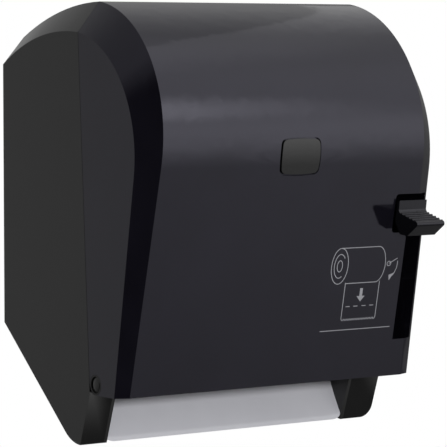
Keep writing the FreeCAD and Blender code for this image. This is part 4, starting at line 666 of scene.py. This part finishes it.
makeReturnSpring(returnSpring)
makePinchSprings(pinchSprings)
makeArmSprings(armSprings)
print("springs made")

feedTyres = {
    "count": 4, "pitch": 56.0, "middle": -3.6, "depth": 125.104, "height": 127.013,
    "radius": 20.0, "bore": 14.05, "width": 30.0, "shoulder": 1.2, "treadSteps": 11,
    "grooves": 36, "grooveDepth": 0.7, "sidesPerGroove": 8,
    "grooveFrom": 0.35, "grooveSlope": 0.4,  # where on a cosine wave a groove begins, and its wall's height
}


def makeFeedTyres(given):
    # A ring section round the axis; the tread's radius drops in grooves that fade at the shoulders
    half, radius, shoulder = given["width"] / 2, given["radius"], given["shoulder"]
    tread = np.linspace(shoulder - half, half - shoulder, given["treadSteps"])[1:-1]
    along = np.concatenate([[-half], -half + shoulder * (1 - np.sin(quarterCircle[::-1])), tread,
                            half - shoulder * (1 - np.sin(quarterCircle)), [half]])
    rounded = radius - shoulder * (1 - np.cos(quarterCircle))
    outer = np.concatenate([[given["bore"]], rounded[::-1], np.full(len(tread), radius), rounded,
                            [given["bore"]]])
    sides = given["grooves"] * given["sidesPerGroove"]
    wave = np.cos(np.arange(sides) * (2 * math.pi / sides) * given["grooves"])[None, :]
    groove = np.clip((wave - given["grooveFrom"]) / given["grooveSlope"], 0.0, 1.0)
    cut = np.clip((outer - radius + shoulder) / shoulder, 0.0, 1.0)[:, None] * given["grooveDepth"]
    shells = []
    for i in range(given["count"]):
        centre = given["middle"] + (i - (given["count"] - 1) / 2) * given["pitch"]
        ring = turnedAbout((centre, -given["depth"], given["height"]), (1, 0, 0), along,
                           outer[:, None] - cut * groove, sides)
        shells.append(shell(ring, closedRows=True))
    surfacePiece("feed_grooved_tyres", shells, "feed_tyres", 40.0)


makeFeedTyres(feedTyres)
print("tyres made")

pictogram = {
    "left": 44.0, "low": 87.0,  # where its lower left corner stands on the cover's panel
    "panelFoot": 45.0, "panelTop": 236.0, "footDepth": 184.0, "lean": 38.6,
    "line": 0.7, "spacing": 0.25, "corner": 0.3, "arcSteps": 72,
    "proud": 0.06, "layer": 0.003, "sunk": 0.05,  # each stroke lies a layer above the last
    # generic drawing of our own: a roll, its towel with a saw-toothed edge, arrows down and along a lever
    "lines": [
        [(16, 77), (57, 77)], [(24.5, 45.8), (24.5, 13)], [(62, 45.8), (62, 13)], [(57, 45), (24.5, 45)],
        [(24.5 + i * 37.5 / 24, 13 - 1.8 * (i % 2)) for i in range(25)],
        [(28, 24), (32.5, 24)], [(36.5, 24), (41, 24)], [(45.5, 24), (50, 24)], [(54, 24), (58.5, 24)],
        [(70, 61), (79, 65.5)], [(3, 3), (80, 3)],
    ],
    "arcs": [  # centre, half width, half height, from and to in degrees
        (16, 61, 9.0, 16.0, 0, 360), (16, 61, 2.8, 5.0, 0, 360), (16, 61, 6.0, 10.6, 40, 300),
        (57, 61, 9.0, 16.0, -90, 90), (70, 61, 2.0, 2.0, 0, 360), (66, 61, 13.5, 15.0, 8, -50),
    ],
    "shapes": [
        [(41.6, 40), (44.6, 40), (44.6, 33), (47.6, 33), (43.1, 28), (38.6, 33), (41.6, 33)],
        [(71.2, 50.6), (76.4, 52.2), (72.2, 45.6)],
    ],
}


def onPanel(path, proud, given):
    # Points of the drawing on the cover's leaning panel, whose depth grows with the height
    slope = given["lean"] / (given["panelTop"] - given["panelFoot"])
    length = math.hypot(1.0, slope)
    height = given["low"] + path[:, 1] / length
    depth = given["footDepth"] + (height - given["panelFoot"]) * slope
    return np.stack([given["left"] + path[:, 0], -depth - proud / length, height - proud * slope / length],
                    axis=-1)


def ribbon(path, proud, given, closed=False):
    # Two edges half a line's width to each side of the path, proud of the panel, with a hidden foot
    if closed:
        along = np.roll(path, -1, axis=0) - np.roll(path, 1, axis=0)
    else:
        along = np.gradient(path, axis=0)
    along = unit(along) * (given["line"] / 2)
    left = np.stack([path[:, 0] - along[:, 1], path[:, 1] + along[:, 0]], axis=1)
    right = 2 * path - left
    foot = -given["sunk"]
    rings = [onPanel(left, foot, given), onPanel(left, proud, given),
             onPanel(right, proud, given), onPanel(right, foot, given)]
    return shell(np.stack(rings, axis=1), closedRows=closed)


def makePictogram(given):
    # Printed lines and filled shapes; each lies a hair above the last, so that crossings stay clean
    shells = []
    for corners in given["lines"]:
        proud = given["proud"] + given["layer"] * len(shells)
        shells.append(ribbon(smoothPath(corners, given["spacing"], given["corner"]), proud, given))
    for across, rise, wide, tall, start, end in given["arcs"]:
        proud = given["proud"] + given["layer"] * len(shells)
        whole = abs(end - start) == 360
        angle = np.radians(np.linspace(start, end, given["arcSteps"] + 1))
        if whole:
            angle = angle[:-1]
        path = np.stack([across + wide * np.cos(angle), rise + tall * np.sin(angle)], axis=1)
        shells.append(ribbon(path, proud, given, whole))
    for corners in given["shapes"]:
        proud = given["proud"] + given["layer"] * len(shells)
        flat = np.array(corners, float)
        shells.append(shell(np.stack([onPanel(flat, -given["sunk"], given), onPanel(flat, proud, given)])))
    piece = surfaceObject("panel_pictogram", shells, 20.0)
    dress(piece, printInk)
    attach(piece, nodeObjects["front_cover"]["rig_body"])


makePictogram(pictogram)
print("pictogram made")

studio = {
    "fill": 0.46,  # even light that colours are seen by
    "surround": 0.335,  # what polished surfaces see round about
    # soft lights in the room, each at (azimuth from -Y towards +X, elevation), with its reach, in degrees
    "lights": {
        "keyWindow": {"toward": (24.8, 22), "reach": 16, "light": 2.1},
        "keyGlow": {"toward": (28, 2), "reach": 22, "light": 0.06},
        "broadCeiling": {"toward": (20, 35), "reach": 60, "light": 0.80},
        "lowBounce": {"toward": (33, -8), "reach": 30, "light": 0.57},
        "backRight": {"toward": (142, 62), "reach": 48, "light": 0.30},
    },
    # darker parts: within the core only the share of the room's light is left, and all of it at the reach
    "darker": {
        "leftWall": {"toward": (-60, -10), "core": 42, "reach": 62, "share": 0.0},
        "rightWall": {"toward": (118, 0), "core": 14, "reach": 34, "share": 0.45},
    },
    "ground": {"from": -0.60, "to": -0.02, "share": 0.38},  # the same below the horizon, by the ray's Z
}
floorPaint = {
    "below": 0.45, "size": 4.0,  # metres
    "colours": ("#e4e4e2", "#e9e9e7"), "toneAcross": 300.0, "rough": 0.8,  # mm for the tone
}
# low lamp in front, for matt surfaces: place and what it looks at in metres, size, watts
lowLamp = {"place": (-0.30, -1.60, 0.14), "aim": (0.0, -0.12, -0.18), "size": (0.6, 0.14), "watts": 13.5}
# lamp above: a faint panel with one straight edge, which the crown shows as a slanting line
lampPanel = {
    "height": 0.868, "edgeFrom": (0.378, -0.217), "edgeTo": (0.873, 0.634), "before": 1.2, "beyond": 2.0,
    "light": 0.24, "full": 0.08, "gone": 0.42,  # full and gone are metres from that edge
}


def towards(azimuth, elevation):
    azimuth, elevation = math.radians(azimuth), math.radians(elevation)
    return Vector((math.sin(azimuth) * math.cos(elevation), -math.cos(azimuth) * math.cos(elevation),
                   math.sin(elevation)))


def makeWorld(given):
    # White to the camera and even to matt surfaces; polished ones see a room with soft lights fixed in it
    world = bpy.data.worlds.new("studioRoom")
    bpy.context.scene.world = world
    world.use_nodes = True
    tree = world.node_tree
    tree.nodes.clear()
    direction = addNode(tree, "ShaderNodeTexCoord").outputs["Generated"]

    def ramp(value, low, high, start, end):
        return addNode(tree, "ShaderNodeMapRange", {"Value": value, "From Min": low, "From Max": high,
                                                    "To Min": start, "To Max": end},
                       interpolation_type="SMOOTHSTEP").outputs["Result"]

    def maths(operation, first, second):
        return addNode(tree, "ShaderNodeMath", {0: first, 1: second}, operation=operation).outputs[0]

    def nearness(toward):
        return addNode(tree, "ShaderNodeVectorMath", {0: direction, 1: towards(*toward)},
                       operation="DOT_PRODUCT").outputs["Value"]

    def cosine(degrees):
        return math.cos(math.radians(degrees))

    def chosen(isSo, otherwise, then):
        return addNode(tree, "ShaderNodeMix", {0: isSo, 2: otherwise, 3: then},
                       data_type="FLOAT").outputs[0]

    seen = given["surround"]
    for light in given["lights"].values():
        glow = ramp(nearness(light["toward"]), cosine(light["reach"]), 1.0, 0.0, light["light"])
        seen = maths("ADD", seen, glow)
    for wall in given["darker"].values():
        left = ramp(nearness(wall["toward"]), cosine(wall["reach"]), cosine(wall["core"]),
                    1.0, wall["share"])
        seen = maths("MULTIPLY", seen, left)
    ground = given["ground"]
    upward = addNode(tree, "ShaderNodeSeparateXYZ", {"Vector": direction}).outputs["Z"]
    seen = maths("MULTIPLY", seen, ramp(upward, ground["from"], ground["to"], ground["share"], 1.0))
    rays = addNode(tree, "ShaderNodeLightPath")
    byObject = chosen(rays.outputs["Is Glossy Ray"], given["fill"], seen)
    strength = chosen(rays.outputs["Is Camera Ray"], byObject, 1.0)
    background = addNode(tree, "ShaderNodeBackground", {"Color": (1.0, 1.0, 1.0, 1.0), "Strength": strength})
    output = addNode(tree, "ShaderNodeOutputWorld")
    tree.links.new(background.outputs["Background"], output.inputs["Surface"])


def stageSheet(name, corners, material):
    mesh = bpy.data.meshes.new(name)
    mesh.from_pydata(corners, [], [tuple(range(len(corners)))])
    sheet = bpy.data.objects.new(name, mesh)
    dress(sheet, material)
    return sheet


def makeFloor(given):
    half = given["size"] / 2
    height = cadLow.z - given["below"]
    material, tree, shader, place = startMaterial("matteFloorPaint")
    shader.inputs["Roughness"].default_value = given["rough"]
    tone = spread(tree, noisePerMm(tree, place, given["toneAcross"]), 0.0, 1.0)
    tree.links.new(twoTones(tree, tone, *given["colours"]), shader.inputs["Base Color"])
    # seen from below it is clear, so that the underside of the object shows
    clear = addNode(tree, "ShaderNodeBsdfTransparent")
    side = addNode(tree, "ShaderNodeNewGeometry").outputs["Backfacing"]
    both = addNode(tree, "ShaderNodeMixShader", {0: side, 1: shader.outputs["BSDF"],
                                                 2: clear.outputs["BSDF"]})
    tree.links.new(both.outputs["Shader"], tree.nodes["Material Output"].inputs["Surface"])
    corners = [(-half, -half, height), (half, -half, height), (half, half, height), (-half, half, height)]
    floor = stageSheet("studioFloor", corners, material)
    floor.visible_glossy = False


def makePanel(given):
    # Only polished surfaces see it; its light fades with the distance from its straight edge
    start, end = Vector((*given["edgeFrom"], given["height"])), Vector((*given["edgeTo"], given["height"]))
    along = (end - start).normalized()
    away = Vector((along.y, -along.x, 0.0))
    material = bpy.data.materials.new("lampPanel")
    material.use_nodes = True
    tree = material.node_tree
    tree.nodes.clear()
    place = addNode(tree, "ShaderNodeTexCoord").outputs["Object"]
    offset = addNode(tree, "ShaderNodeVectorMath", {0: place, 1: start}, operation="SUBTRACT")
    distance = addNode(tree, "ShaderNodeVectorMath", {0: offset.outputs["Vector"], 1: away},
                       operation="DOT_PRODUCT")
    strength = addNode(tree, "ShaderNodeMapRange",
                       {"Value": distance.outputs["Value"], "From Min": given["full"],
                        "From Max": given["gone"], "To Min": given["light"], "To Max": 0.0},
                       interpolation_type="SMOOTHSTEP")
    glow = addNode(tree, "ShaderNodeEmission", {"Strength": strength.outputs["Result"]})
    clear = addNode(tree, "ShaderNodeBsdfTransparent")
    both = addNode(tree, "ShaderNodeAddShader", {0: glow.outputs[0], 1: clear.outputs[0]})
    output = addNode(tree, "ShaderNodeOutputMaterial")
    tree.links.new(both.outputs[0], output.inputs["Surface"])
    near, far = start - along * given["before"], start + along * given["beyond"]
    width = away * given["gone"]
    panel = stageSheet("lampPanel", [near, far, far + width, near + width], material)
    panel.visible_camera = False
    panel.visible_diffuse = False
    panel.visible_shadow = False
    panel.visible_transmission = False


def makeLamp(given):
    data = bpy.data.lights.new("lowLamp", "AREA")
    data.shape = "RECTANGLE"
    data.size, data.size_y = given["size"]
    data.energy = given["watts"]
    lamp = bpy.data.objects.new("lowLamp", data)
    lamp.location = given["place"]
    look = Vector(given["aim"]) - Vector(given["place"])
    lamp.rotation_euler = look.to_track_quat("-Z", "Y").to_euler()
    lamp.visible_glossy = False
    lamp.visible_camera = False
    bpy.context.scene.collection.objects.link(lamp)


makeWorld(studio)
makeFloor(floorPaint)
makeLamp(lowLamp)
makePanel(lampPanel)
bpy.context.scene.view_settings.view_transform = "Standard"
print("studio lit")
